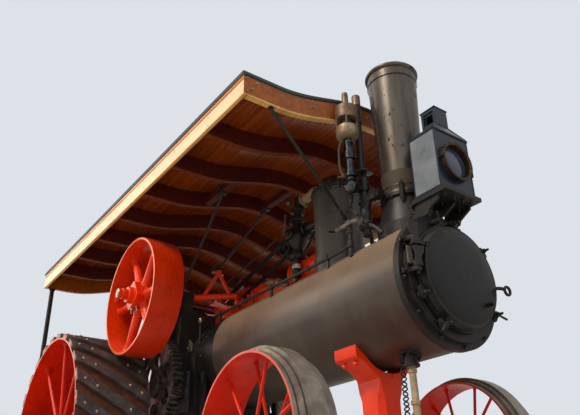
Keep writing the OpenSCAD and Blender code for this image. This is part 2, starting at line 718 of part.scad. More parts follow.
chest_y = [engine_y + 60, engine_y + 190];
module steam_cylinder() color(orange_red) place() translate([0, 0, crank_z]) difference() {
    union() {
        translate([0, engine_y, 0]) bar_x(-cylinder_back_x, -cylinder_back_x + cylinder_len, cylinder_r);
        translate([0, engine_y, 0]) bar_x(-cylinder_back_x - 26, -cylinder_back_x, cylinder_r - 14);
        // Steam chest on the left side
        block([-cylinder_back_x + 60, chest_y[0], -80],
            [-cylinder_back_x + cylinder_len - 60, chest_y[1], 80]);
    }
    translate([0, engine_y, 0]) bar_x(-cylinder_back_x - 60, -cylinder_back_x + 80, piston_rod_r + run_fit);
    translate([0, 0, boiler_z - crank_z]) bar_x(lagging_back, smokebox_front, barrel_r + seat);
}

piston_rod_r = 22;
cross_x = -crank_x + crank_throw + rod_len;
module crosshead() color(plate_c) place() translate([0, engine_y, crank_z]) {
    block([cross_x - 60, -22, -40], [cross_x + 70, 22, 40]);
    bar_x(cross_x + 70, -cylinder_back_x + 60, piston_rod_r);
}

module connecting_rod() color(plate_c) place() translate([0, engine_y, crank_z]) {
    bar_x(-crank_x + crank_throw + 50, cross_x - 60 - seat, 22);
    block([-crank_x + crank_throw - 52, -rod_w / 2, -50], [-crank_x + crank_throw + 52, rod_w / 2, 50]);
}

module crankshaft() color(plate_c) place() translate([-crank_x, 0, crank_z]) {
    bar_y(-flywheel_face_y - 100, disc_y0 + 4, crankshaft_r);
    difference() {
        bar_y(disc_y0, disc_y1, crank_disc_r);
        translate([crank_throw, 0, 0]) bar_y(disc_y1 - 12, disc_y1 + 1, 30);
    }
}

module flywheel() color(orange_red) place() translate([-crank_x, 0, crank_z]) {
    y0 = -flywheel_face_y;
    rim_in = flywheel_r - flywheel_rim_t;
    // Crowned rim, turned from one outline
    translate([0, y0, 0]) rotate([-90, 0, 0]) rotate_extrude($fn = 96) polygon([[rim_in, 0],
        [flywheel_r - flywheel_crown, 0], [flywheel_r, flywheel_w * 0.36], [flywheel_r, flywheel_w * 0.64],
        [flywheel_r - flywheel_crown, flywheel_w], [rim_in, flywheel_w], [rim_in - 12, flywheel_w / 2 + 20],
        [rim_in - 12, flywheel_w / 2 - 20]]);
    difference() {
        union() {
            bar_y(y0 + 22, y0 + flywheel_w - 22, 92);
            bar_y(y0 + flywheel_w / 2 - 60, y0 + flywheel_w / 2 + 60, 112);
            for (k = [0:flywheel_spokes - 1]) rotate([0, 360 * k / flywheel_spokes, 0])
                translate([90, y0 + flywheel_w / 2, 0]) rotate([0, 90, 0])
                    cylinder(h = rim_in - 90 - 4, r1 = 44, r2 = 33);
        }
        bar_y(y0 - 1, y0 + flywheel_w + 1, crankshaft_r + run_fit);
    }
}

// Gearing

outer_bearing_y = [-gear_face_y + gear_w + 24, -gear_face_y + gear_w + 104];
stud_r = 40;
// Side plate that carries the two studs and the crank's outer bearing
module gear_bracket_form(grow = 0) slab_y(outer_bearing_y[0] + 30 - grow, -firebox_half_w)
    polygon([[-crank_x + 50, 1250], [-crank_x + 60, 1500],
        [-crank_x + 108, crank_z - 20], [-crank_x + 108, crank_z + 90 + grow],
        [-crank_x - 100, crank_z + 90 + grow],
        [upper_c[0] - 100, upper_c[1] + 90 + grow], [upper_c[0] - 100, upper_c[1] - 100],
        [lower_c[0] - 120, lower_c[1] + 60], [lower_c[0] - 90, lower_c[1] - 110],
        [lower_c[0] + 140, lower_c[1] - 110]]);

module gear_bracket() color(black_iron) place() difference() {
    union() {
        gear_bracket_form();
        translate([-crank_x, 0, crank_z]) bar_y(outer_bearing_y[0], outer_bearing_y[1], 92);
        for (c = [lower_c, upper_c]) translate([c[0], 0, c[1]]) {
            bar_y(-gear_face_y + gear_w + 8, -firebox_half_w - 20, 70);
            bar_y(-gear_face_y - 8, -firebox_half_w - 20, stud_r);
        }
    }
    translate([-crank_x, 0, crank_z]) bar_y(-900, 0, crankshaft_r + run_fit);
}

module gear_at(c, turn, n, hub_r, bore_r, holes = 0)
    translate([c[0], 0, c[1]]) rotate([0, -turn, 0]) gear(n, hub_r, bore_r, holes);

module clutch_pinion() color(plate_c) place()
    gear_at(pinion_c, pinion_turn, pinion_teeth, 90, crankshaft_r + run_fit);
module upper_gear() color(plate_c) place()
    gear_at(upper_c, upper_turn, upper_teeth, 80, stud_r + run_fit);
module lower_gear() color(plate_c) place()
    gear_at(lower_c, lower_turn, lower_teeth, 100, stud_r + run_fit, 6);
module drive_gear() color(plate_c) place()
    gear_at(drive_c, drive_turn, drive_teeth, 150, rear_axle_r + run_fit, 8);

// Wheels

rear_hub_y0 = rear_in_y + 24;
rear_hub_y1 = rear_face_y + 26;
module rear_axle() color(plate_c) place() translate([rear_x, 0, rear_z])
    bar_y(-rear_hub_y1 + 6, rear_hub_y1 - 6, rear_axle_r);

// A rear wheel: tread plate, lugs, spokes and hub; side is 1 for left, -1 for right
module rear_wheel(side) color(deep_red) place() translate([rear_x, 0, rear_z])
    mirror([0, side < 0 ? 1 : 0, 0]) {
        mid_y = rear_face_y - rear_w / 2;
        hub_r = 130;
        difference() {
            bar_y(rear_in_y, rear_face_y, rear_rim_r);
            bar_y(rear_in_y - 1, rear_face_y + 1, rear_rim_r - rear_plate_t);
        }
        // Lugs
        difference() {
            intersection() {
                bar_y(rear_in_y, rear_face_y, rear_tip_r);
                union() for (k = [0:lug_count - 1]) rotate([0, 360 * k / lug_count, 0])
                    translate([rear_rim_r, mid_y, 0]) rotate([lug_skew, 0, 0])
                        cube([160, rear_w * 1.5, lug_w], center = true);
            }
            bar_y(rear_in_y - 1, rear_face_y + 1, rear_rim_r - 1);
        }
        difference() {
            union() {
                bar_y(rear_hub_y0, rear_hub_y1, hub_r - 24);
                for (y = [mid_y - 150, mid_y + 150]) translate([0, y, 0]) bar_y(-22, 22, hub_r);
                for (row = [-1, 1], k = [0:rear_spokes - 1])
                    rotate([0, 360 * (k + (row > 0 ? 0.5 : 0)) / rear_spokes, 0])
                        bar([hub_r - 20, mid_y + row * 150, 0],
                            [rear_rim_r - rear_plate_t + 3, mid_y + row * 190, 0], rear_spoke_r);
            }
            bar_y(rear_hub_y0 - 1, rear_hub_y1 + 1, rear_axle_r + run_fit);
        }
    }
module rear_wheel_left() rear_wheel(1);
module rear_wheel_right() rear_wheel(-1);

front_hub_y0 = front_in_y - 22;
front_hub_y1 = front_face_y + 26;
// A front wheel: rim with a stepped middle band, spokes and hub
module front_wheel(side) color(deep_red) place() translate([0, 0, front_z])
    mirror([0, side < 0 ? 1 : 0, 0]) {
        mid_y = front_face_y - front_w / 2;
        hub_r = 66;
        rim_r = front_r - 2 * front_step;
        difference() {
            union() {
                bar_y(front_in_y, front_face_y, rim_r);
                bar_y(mid_y - front_w * 0.34, mid_y + front_w * 0.34, rim_r + front_step);
                bar_y(mid_y - front_w * 0.2, mid_y + front_w * 0.2, front_r);
            }
            bar_y(front_in_y - 1, front_face_y + 1, rim_r - front_plate_t);
        }
        difference() {
            union() {
                bar_y(front_hub_y0, front_hub_y1, hub_r - 8);
                for (y = [mid_y - 60, mid_y + 60]) translate([0, y, 0]) bar_y(-14, 14, hub_r + 8);
                for (row = [-1, 1], k = [0:front_spokes - 1])
                    rotate([0, 360 * (k + (row > 0 ? 0.5 : 0)) / front_spokes, 0])
                        bar([hub_r - 10, mid_y + row * 60, 0],
                            [rim_r - front_plate_t + 3, mid_y + row * 30, 0], front_spoke_r);
            }
            bar_y(front_hub_y0 - 1, front_hub_y1 + 1, front_axle_r + run_fit);
        }
    }
module front_wheel_left() front_wheel(1);
module front_wheel_right() front_wheel(-1);

module front_axle() color(orange_red) place() {
    translate([0, 0, front_z]) {
        bar_y(-front_hub_y1 - 10, front_hub_y1 + 10, front_axle_r);
        block([-50, -front_hub_y0 + 12, -50], [50, front_hub_y0 - 12, 50]);
    }
    block([-50, -150, front_z - 40], [saddle_x + 40, 150, front_z + 50]);
    translate([saddle_x, 0, front_z]) {
        cylinder(h = saddle_pivot_z - front_z, r = 95);
        cylinder(h = saddle_pivot_z - front_z + 170, r = king_pin_r);
    }
}

// Platform and frame

axle_box_r = rear_axle_r + 58;
frame_y0 = firebox_half_w + 16;
frame_y1 = frame_y0 + 26;
module rear_frame() color(black_iron) place() for (s = [0, 1]) mirror([0, s, 0]) difference() {
    union() {
        slab_y(frame_y0, frame_y1) polygon([[firebox_back + 420, 720], [firebox_back + 420, 980],
            [rear_x + 240, 1040], [rear_x - 170, 1040], [rear_x - 230, deck_z - deck_t],
            [deck_back_x + 20, deck_z - deck_t], [deck_back_x + 20, deck_z - deck_t - 110],
            [rear_x - 230, 560],
            [firebox_back + 60, 560]]);
        translate([rear_x, 0, rear_z]) bar_y(frame_y0 - 40, frame_y1 + 16, axle_box_r);
        block([firebox_back + 120, firebox_half_w, 740], [firebox_back + 400, frame_y0, 960]);
    }
    translate([rear_x, 0, rear_z]) bar_y(0, rear_in_y, rear_axle_r + run_fit);
}

deck_front_x = rear_x - 240;
tank_front_x = rear_x - rear_tip_r - 45;
module platform() color(plate_c) place() difference() {
    union() {
        block([deck_back_x, -deck_half_w, deck_z - deck_t], [deck_front_x, deck_half_w, deck_z]);
        block([deck_back_x, -tank_out_y, deck_z - deck_t], [tank_front_x, tank_out_y, deck_z]);
    }
}

module coal_bunker() color(black_iron) place() difference() {
    block([deck_back_x, tank_in_y, deck_z], [tank_front_x, tank_out_y, deck_z + tank_h]);
    block([deck_back_x + plate_t, tank_in_y + plate_t, deck_z + plate_t],
        [tank_front_x - plate_t, tank_out_y - plate_t, deck_z + tank_h + 1]);
}

module water_tank() color(black_iron) place() {
    block([deck_back_x, -tank_out_y, deck_z], [tank_front_x, -tank_in_y, deck_z + tank_h]);
    translate([(deck_back_x + tank_front_x) / 2, -(tank_in_y + tank_out_y) / 2, deck_z + tank_h])
        cylinder(h = 30, r = 110);
}

drawbar_z = deck_z - deck_t - 110 - drawbar_t;
module drawbar() color(black_iron) place() difference() {
    union() {
        block([drawbar_back_x, -60, drawbar_z], [deck_back_x + 200, 60, drawbar_z + drawbar_t]);
        block([deck_back_x + 40, -frame_y1, drawbar_z],
            [deck_back_x + 200, frame_y1, drawbar_z + drawbar_t]);
    }
    translate([drawbar_back_x + 45, 0, drawbar_z - 1]) cylinder(h = drawbar_t + 2, r = drawbar_hole_r);
}

// Distance of the roller's two hangers from the centre line
hanger_y = shell_r - 28;
roller_x = lagging_back - 100;
roller_z = boiler_z - barrel_r - 110;
shaft_y = frame_y1 + 60;
wheel_x = rear_x - 330;
wheel_z = 1480;
module steering_gear() color(black_iron) place() {
    translate([roller_x, 0, roller_z]) {
        bar_y(-hanger_y - 80, shaft_y + 30, 24);
        bar_y(20 - hanger_y, hanger_y - 20, 46);
        for (s = [-1, 1]) translate([0, s * hanger_y, 0]) difference() {
            block([-30, -10, -30], [30, 10, boiler_z - roller_z - 90]);
            translate([0, -s * hanger_y, boiler_z - roller_z]) bar_x(-60, 60, shell_r + seat);
        }
    }
    // Worm box at the roller's left end, and the hand wheel's shaft
    block([roller_x - 44, shaft_y - 40, roller_z - 40], [roller_x + 44, shaft_y + 40, roller_z + 100]);
    bar([roller_x, shaft_y, roller_z + 60], [wheel_x, shaft_y, wheel_z], 16);
    translate([wheel_x, shaft_y, wheel_z]) rotate([0, -70, 0])
        rotate_extrude() translate([170, 0]) circle(r = 12);
    translate([wheel_x, shaft_y, wheel_z]) rotate([0, -70, 0]) {
        for (k = [0:3]) rotate([0, 0, 90 * k]) bar([0, 0, 0], [165, 0, 0], 9);
        cylinder(h = 30, r = 30, center = true);
    }
}

// Canopy

// Height of the roof's top at a distance y from the centre line
function roof_z(y) = eave_z + roof_rise * (1 - cos(180 * max(0, 1 - abs(y) / crown_half_w))) / 2;
roof_steps = 40;
function roof_line(half, drop) =
    [for (i = [0:roof_steps]) let (y = -half + 2 * half * i / roof_steps) [y, roof_z(y) - drop]];
// Outline that follows the roof between two depths below its top
module roof_band(half, top, low) intersection() {
    polygon(concat(roof_line(roof_half_w, top),
        [for (i = [roof_steps:-1:0]) roof_line(roof_half_w, low)[i]]));
    translate([-half, 0]) square([2 * half, 2 * eave_z]);
}
bay = (roof_front - roof_back - rib_t) / bays;
board_in_y = roof_half_w - 26;

module canopy_roof() color(roof_c) place() slab_x(roof_back, roof_front) roof_band(roof_half_w, 0, roof_t);

module canopy_fascia() color(wood_c) place() {
    for (x = [roof_back, roof_front - rib_t]) slab_x(x, x + rib_t) roof_band(roof_half_w, roof_t, fascia_h);
    for (s = [-1, 1]) block([roof_back + rib_t, s > 0 ? board_in_y : -roof_half_w, eave_z - fascia_h],
        [roof_front - rib_t, s > 0 ? roof_half_w : -board_in_y, eave_z - roof_t]);
}

// Ribs, with short timbers between the second and third that carry the stays
beam_y = [-520, 60, 520];
module canopy_ribs() color(wood_c) place() {
    for (k = [1:bays - 1])
        slab_x(roof_front - rib_t - k * bay, roof_front - k * bay) roof_band(board_in_y, roof_t, fascia_h);
    for (y = beam_y) block([roof_front - rib_t - 3 * bay, y - beam_w / 2, roof_z(y) - fascia_h + 6],
        [roof_front - 2 * bay - rib_t, y + beam_w / 2, roof_z(y) - fascia_h + 66]);
}

post_y = tank_out_y + post_r + 6;
module canopy_posts() color(black_iron) place() for (s = [0, 1]) mirror([0, s, 0])
    translate([roof_back + rib_t / 2, 0, 0]) {
        translate([0, post_y, deck_z - deck_t])
            cylinder(h = eave_z - fascia_h - deck_z + deck_t, r = post_r);
        // Clips to the side of the bunker or the tank
        for (z = [deck_z + 60, deck_z + tank_h - 90]) block([-34, tank_out_y, z], [34, post_y, z + 30]);
    }

// Stays: a pair to the front fascia from feet on the boiler, and three to the timbers
stay_foot = [-10, 110, 2050];
bracket_foot = [-crank_x - 205, -430, crank_z - 30];
front_stay_y = 900;
module canopy_stays() color(black_iron) place() difference() {
    union() {
        for (s = [-1, 1]) {
            bar([roof_front - rib_t / 2, s * front_stay_y, roof_z(front_stay_y) - fascia_h - 11],
                [stay_foot[0], s * stay_foot[1], stay_foot[2]], stay_r);
            translate([roof_front - rib_t / 2, s * front_stay_y, roof_z(front_stay_y) - fascia_h - 12])
                cylinder(h = 12, r = stay_r + 8);
            translate([stay_foot[0], s * stay_foot[1], boiler_z])
                cylinder(h = stay_foot[2] - boiler_z + 12, r = stay_r + 5);
        }
        // To the gear bracket's top, to the struts and to the left of the boiler
        bar([-1080, beam_y[0], roof_z(beam_y[0]) - fascia_h + 10], bracket_foot, stay_r);
        bar([-1290, beam_y[1], roof_z(beam_y[1]) - fascia_h + 10], strut_top + [0, 0, 20], stay_r);
        translate(strut_top) cylinder(h = 56, r = stay_r + 12);
        bar([-1080, beam_y[2], roof_z(beam_y[2]) - fascia_h + 10],
            [firebox_front - 120, shell_r * 0.8, boiler_z + shell_r * 0.5], stay_r);
    }
    translate([0, 0, boiler_z]) bar_x(lagging_back, smokebox_front, barrel_r + seat);
    translate([0, 0, boiler_z]) bar_x(firebox_back, lagging_back + 1, shell_r + seat);
    for (y = beam_y) block([roof_back, y - 100, roof_z(y) - fascia_h + 6 - seat],
        [roof_front, y + 100, roof_z(y)]);
    gear_bracket_form(seat);
}

// Distance of the feed pipe's centre from the lagging, and how high round the barrel it runs
pipe_off = 52;
pipe_angle = 48.4;
pipe_y = (barrel_r + pipe_off) * cos(pipe_angle);
pipe_z = boiler_z + (barrel_r + pipe_off) * sin(pipe_angle);
feed_r = 15;
module feed_pipe() color(black_iron) place() difference() {
    union() {
        translate([0, -pipe_y, pipe_z]) bar_x(lagging_back - 60, 240, feed_r);
        // Clips that stand the pipe off the lagging
        for (x = [smokebox_back - 60, -700, lagging_back + 60])
            block([x - 12, -pipe_y - 8, pipe_z - 90], [x + 12, -pipe_y + 8, pipe_z]);
        // Down to the check valve at the front
        bar([228, -pipe_y, pipe_z], [228, -pipe_y - 60, pipe_z - 160], feed_r);
    }
    translate([0, 0, boiler_z]) bar_x(firebox_back, smokebox_front, barrel_r + seat);
}

exhaust_r = 32;
exhaust_y = dome_r + 115;
exhaust_z = crank_z + 20;
exhaust_boss_y = chimney_foot_r + 80;
module exhaust_pipe() color(black_iron) place() translate([0, 0, exhaust_z]) {
    x0 = -cylinder_back_x + cylinder_len - 130;
    translate([x0, 0, 0]) bar_y(chest_y[1], exhaust_y, exhaust_r);
    translate([x0, exhaust_y, -exhaust_r - 10]) cylinder(h = 2 * exhaust_r + 20, r = exhaust_r + 12);
    translate([0, exhaust_y, 0]) bar_x(x0, chimney_x, exhaust_r);
    translate([chimney_x, exhaust_y, -exhaust_r - 10])
        cylinder(h = 2 * exhaust_r + 20, r = exhaust_r + 12);
    translate([chimney_x, 0, 0]) bar_y(exhaust_boss_y, exhaust_y, exhaust_r);
}

lever_x = firebox_back + 220;
lever_z = boiler_z - 160;
lever_plate = 200;
lever_len = 830;
throttle_y = engine_y + 165;
module controls() color(black_iron) place() difference() {
    union() {
        // Reverse lever and its notched plate, on the firebox's left side
        block([lever_x - lever_plate / 2, firebox_half_w + seat, boiler_z - lever_plate - 20],
            [lever_x + lever_plate / 2, firebox_half_w + 12, boiler_z - 20]);
        translate([lever_x, 0, lever_z]) bar_y(firebox_half_w + 10, firebox_half_w + 60, 26);
        bar([lever_x, firebox_half_w + 42, lever_z],
            [lever_x - lever_len * sin(11), firebox_half_w + 42, lever_z + lever_len * cos(11)], 14);
        // Throttle rod from the steam chest to a post over the fire door
        translate([0, throttle_y, crank_z - 30]) bar_x(firebox_back - 60, -cylinder_back_x + 60, 11);
        block([firebox_back + 20, throttle_y - 20, boiler_z + shell_r * 0.6],
            [firebox_back + 50, throttle_y + 20, crank_z]);
    }
    translate([0, 0, boiler_z]) bar_x(-3000, 0, shell_r + seat);
}

boiler_barrel();
smokebox();
smokebox_door();
firebox();
ash_pan();
fire_door();
steam_dome();
chimney_base();
chimney();
headlamp_bracket();
headlamp();
whistle();
steam_pipe();
governor();
safety_valve();
front_saddle();
engine_frame();
steam_cylinder();
crosshead();
connecting_rod();
crankshaft();
flywheel();
gear_bracket();
clutch_pinion();
upper_gear();
lower_gear();
drive_gear();
rear_axle();
rear_wheel_left();
rear_wheel_right();
rear_frame();
platform();
coal_bunker();
water_tank();
drawbar();
steering_gear();
front_axle();
front_wheel_left();
front_wheel_right();
canopy_roof();
canopy_fascia();
canopy_ribs();
canopy_posts();
canopy_stays();
feed_pipe();
exhaust_pipe();
controls();
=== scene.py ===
# Finishes and fine detail of the steam traction engine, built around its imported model.
import json
import math

import bpy
import bmesh
from mathutils import Matrix, Vector


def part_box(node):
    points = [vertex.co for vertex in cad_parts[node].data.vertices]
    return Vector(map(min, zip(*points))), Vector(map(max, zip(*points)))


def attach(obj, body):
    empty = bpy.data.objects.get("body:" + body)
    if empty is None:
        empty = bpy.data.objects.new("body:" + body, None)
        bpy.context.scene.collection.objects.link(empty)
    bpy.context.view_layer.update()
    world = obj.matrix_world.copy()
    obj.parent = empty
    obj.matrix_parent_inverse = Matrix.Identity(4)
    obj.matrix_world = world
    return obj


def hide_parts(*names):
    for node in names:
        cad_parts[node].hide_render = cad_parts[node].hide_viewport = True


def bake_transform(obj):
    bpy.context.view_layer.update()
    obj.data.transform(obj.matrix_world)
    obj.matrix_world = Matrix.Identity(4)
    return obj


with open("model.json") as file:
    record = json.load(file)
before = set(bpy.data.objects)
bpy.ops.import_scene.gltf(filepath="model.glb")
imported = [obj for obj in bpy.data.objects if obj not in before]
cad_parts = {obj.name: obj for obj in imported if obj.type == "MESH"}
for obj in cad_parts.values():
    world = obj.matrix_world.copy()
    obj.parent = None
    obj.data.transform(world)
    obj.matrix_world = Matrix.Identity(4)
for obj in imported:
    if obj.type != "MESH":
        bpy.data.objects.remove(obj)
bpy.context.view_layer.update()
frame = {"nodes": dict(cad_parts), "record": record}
nodes = frame["nodes"]
print("frame loaded:", len(nodes), "solids")

scene = bpy.context.scene
scene.view_settings.view_transform = "Standard"

mm = 0.001
wheelLow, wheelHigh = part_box("front_wheel_right")
frontAxle = ((wheelLow + wheelHigh) / 2).x  # in metres; every shape below is in millimetres from here


def boxOf(name):
    # A solid's two corners, in millimetres from the front axle
    return [(Vector(corner) - Vector((frontAxle, 0, 0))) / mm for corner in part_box(name)]


def middleOf(name):
    low, high = boxOf(name)
    return [round(value) for value in (low + high) / 2]


boilerZ = middleOf("boiler_barrel")[2]
crankX, crankZ = middleOf("flywheel")[::2]
sides = ((-1, "right"), (1, "left"))


# Shapes. Each is a pair of lists, of corners and of faces

def circle(radius, count, start=0.0):
    angles = [math.tau * k / count + math.radians(start) for k in range(count)]
    return [(radius * math.cos(angle), radius * math.sin(angle)) for angle in angles]


def ray(degrees):
    return math.cos(math.radians(degrees)), math.sin(math.radians(degrees))


def turned(profile, steps=36, ring=False):
    # profile: (radius, height) pairs turned about Z; ring joins the last pair to the first
    corners, rows, faces = [], [], []
    for radius, height in profile:
        if radius < 0.01:
            rows.append([len(corners)] * steps)
            corners.append(Vector((0, 0, height)))
        else:
            rows.append([len(corners) + k for k in range(steps)])
            corners += [Vector((x, y, height)) for x, y in circle(radius, steps)]
    pairs = list(zip(rows, rows[1:])) + ([(rows[-1], rows[0])] if ring else [])
    for low, high in pairs:
        for k in range(steps):
            j = (k + 1) % steps
            face = list(dict.fromkeys([low[k], low[j], high[j], high[k]]))
            if len(face) > 2:
                faces.append(face)
    if not ring:
        faces += [row for row in (rows[0], rows[-1]) if row[0] != row[1]]
    return corners, faces


def eased(inner, outer, low, high, ease=3):
    # Profile of a collar whose outer edges are eased down to the inner radius
    return [(inner, low), (outer, low + ease), (outer, high - ease), (inner, high)]


def loops(count):
    # Faces between two outlines of count corners that follow each other
    return [[k, (k + 1) % count, count + (k + 1) % count, count + k] for k in range(count)]


def prism(outline, low, high):
    # Flat outline of (x, y) pairs, given height along Z
    count = len(outline)
    corners = [Vector((x, y, z)) for z in (low, high) for x, y in outline]
    return corners, [list(range(count)), list(range(count, 2 * count))] + loops(count)


def upright(outline, x0, x1):
    # Flat outline of (y, z) pairs that stands across the engine
    corners, faces = prism(outline, x0, x1)
    return [Vector((c.z, c.x, c.y)) for c in corners], faces


def block(low, high):
    outline = [(low[0], low[1]), (high[0], low[1]), (high[0], high[1]), (low[0], high[1])]
    return prism(outline, low[2], high[2])


def tube(path, radius, steps=12, loop=False):
    path = [Vector(point) for point in path]
    last = len(path) - 1
    corners, faces, side = [], [], None
    for k, point in enumerate(path):
        ahead = path[(k + 1) % (last + 1)] if k < last or loop else point
        behind = path[k - 1] if k or loop else point
        forward = (ahead - behind).normalized()
        side = side - forward * side.dot(forward) if side else forward.orthogonal()
        side.normalize()
        across = forward.cross(side)
        size = radius[k] if isinstance(radius, list) else radius
        corners += [point + (side * x + across * y) * size for x, y in circle(1, steps)]
    for k in range(last + 1 if loop else last):
        here, there = k * steps, (k + 1) % (last + 1) * steps
        faces += [[here + j, here + (j + 1) % steps, there + (j + 1) % steps, there + j]
            for j in range(steps)]
    if not loop:
        faces += [list(range(steps)), list(range(last * steps, (last + 1) * steps))]
    return corners, faces


def rounded(points, bend, cuts=5):
    # The same path with its corners turned into bends
    points = [Vector(point) for point in points]
    path = [points[0]]
    for before, corner, after in zip(points, points[1:], points[2:]):
        start, end = [corner + (other - corner).normalized() * min(bend, (other - corner).length * 0.49)
            for other in (before, after)]
        parts = [k / cuts for k in range(cuts + 1)]
        path += [start.lerp(corner, part).lerp(corner.lerp(end, part), part) for part in parts]
    return path + [points[-1]]


def pipe(points, bend, radius, steps=10, cuts=5):
    return tube(rounded(points, bend, cuts), radius, steps)


def joined(*shapes):
    corners, faces = [], []
    for shape in shapes:
        faces += [[len(corners) + k for k in face] for face in shape[1]]
        corners += shape[0]
    return corners, faces


def moved(shape, x, y=0, z=0):
    return [corner + Vector((x, y, z)) for corner in shape[0]], shape[1]


def placed(shape, where, toward=(0, 0, 1), spin=0.0):
    # The shape's Z turned toward a direction, and its origin put where it belongs
    turn = Vector(toward).to_track_quat("Z", "Y").to_matrix().to_4x4()
    turn = turn @ Matrix.Rotation(math.radians(spin), 4, "Z")
    matrix = Matrix.Translation(Vector(where)) @ turn
    return [matrix @ corner for corner in shape[0]], shape[1]


def lathed(profile, steps, where, toward=(0, 0, 1), ring=False):
    return placed(turned(profile, steps, ring), where, toward)


def copies(shape, places):
    # places: (where, toward) pairs
    return joined(*[placed(shape, *place) for place in places])


def bolt(across, stud=0.5, washer=True):
    # Hex nut on its washer, with the end of its stud above it
    nut = turned([(across * 0.5, 0), (across * 0.5774, across * 0.12), (across * 0.5774, across * 0.72),
        (across * 0.48, across * 0.85)], 6)
    top = across * (0.85 + stud)
    parts = [nut, turned([(across * 0.3, 0), (across * 0.3, top - 1.5), (across * 0.25, top)], 10)]
    if washer:
        parts.append(turned([(across * 0.72, 0), (across * 0.72, across * 0.1)], 14))
    return joined(*parts)


def bolts(across, places, stud=0.4, washer=True):
    return copies(bolt(across, stud, washer), places)


def rivet(radius):
    return turned([(radius, 0), (radius * 0.86, radius * 0.36), (radius * 0.5, radius * 0.62),
        (0, radius * 0.72)], 10)


def rivets(radius, places):
    return copies(rivet(radius), places)


def flange(radius, thick, count, across):
    # Round flange that stands on z 0, with its bolts on top
    around = [((x, y, thick), (0, 0, 1)) for x, y in circle(radius * 0.8, count)]
    return joined(turned(eased(radius - 1.5, radius, 0, thick, 1.5), 32), bolts(across, around, 0.3, False))


def makePiece(name, shape, slotName, body="engine", look=None, bevel=0.0, crease=35, instead=()):
    corners, faces = shape
    mesh = bpy.data.meshes.new(name)
    mesh.from_pydata([(frontAxle + x * mm, y * mm, z * mm) for x, y, z in corners], [], faces)
    work = bmesh.new()
    work.from_mesh(mesh)
    bmesh.ops.recalc_face_normals(work, faces=work.faces)
    work.to_mesh(mesh)
    work.free()
    mesh.shade_smooth()
    mesh.set_sharp_from_angle(angle=math.radians(crease))
    mesh.materials.append(look or slotFinish[slotName])
    piece = bpy.data.objects.new(name, mesh)
    scene.collection.objects.link(piece)
    if bevel:
        edge = piece.modifiers.new("edge", "BEVEL")
        edge.width, edge.segments, edge.limit_method = bevel * mm, 2, "ANGLE"
        edge.angle_limit = math.radians(crease)
        edge.harden_normals = True
    if body:
        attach(piece, body)
    for node in instead:
        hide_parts(node)
    return piece


# Camera, lights and floor

cameraSet = {
    "place": (frontAxle + 2.931, -2.792, 0.123),  # crouching just off the engine's front right corner
    "heading": 53.14,
    "upward": 25.47,
    "roll": -1.61,
    "focal": 38.62,
    "shiftX": -0.0075,
    "shiftY": 0.0374,
    "reach": 200,
}


def makeCamera():
    lens = bpy.data.cameras.new("camera")
    lens.lens = cameraSet["focal"]
    lens.sensor_width = 36.0
    lens.shift_x = cameraSet["shiftX"]
    lens.shift_y = cameraSet["shiftY"]
    lens.clip_end = cameraSet["reach"]
    camera = bpy.data.objects.new("camera", lens)
    scene.collection.objects.link(camera)
    turn = Matrix.Rotation(math.radians(cameraSet["heading"]), 4, "Z")
    tilt = Matrix.Rotation(math.radians(90 + cameraSet["upward"]), 4, "X")
    roll = Matrix.Rotation(math.radians(cameraSet["roll"]), 4, "Z")
    camera.matrix_world = Matrix.Translation(cameraSet["place"]) @ turn @ tilt @ roll
    scene.camera = camera


lightSet = {
    "key": {"from": (0.6, -8.0, 9.4), "degrees": 12, "watts": 2.0, "colour": "#FFF1DE"},  # far off, like a sun
    "fill": {"from": (9.0, -3.0, 4.0), "size": 7.0, "watts": 70, "colour": "#EAF1FF"},
    "rim": {"from": (-9.0, -6.0, 6.6), "size": 8.0, "watts": 480, "colour": "#FFF4E8"},
    "aim": (0, 0, 1.5),
    "sky": {"To Min": 0.25, "To Max": 0.62, "From Min": -0.05, "From Max": 0.55},  # level, then overhead
    "backdrop": "#DDE2E8",
    "floor": "#C9C5BD",
    "floorReach": 40,
}


def linear(hexCode):
    # sRGB hex to the linear numbers that shaders take
    values = [int(hexCode[i:i + 2], 16) / 255 for i in (1, 3, 5)]
    return tuple(v / 12.92 if v <= 0.04045 else ((v + 0.055) / 1.055) ** 2.4 for v in values) + (1.0,)


def addNode(tree, kind, settings=None, links=None):
    node = tree.nodes.new("ShaderNode" + kind)
    for key, value in (settings or {}).items():
        if isinstance(key, int) or key in node.inputs:
            node.inputs[key].default_value = value
        else:
            setattr(node, key, value)
    for key, socket in (links or {}).items():
        tree.links.new(socket, node.inputs[key])
    return node


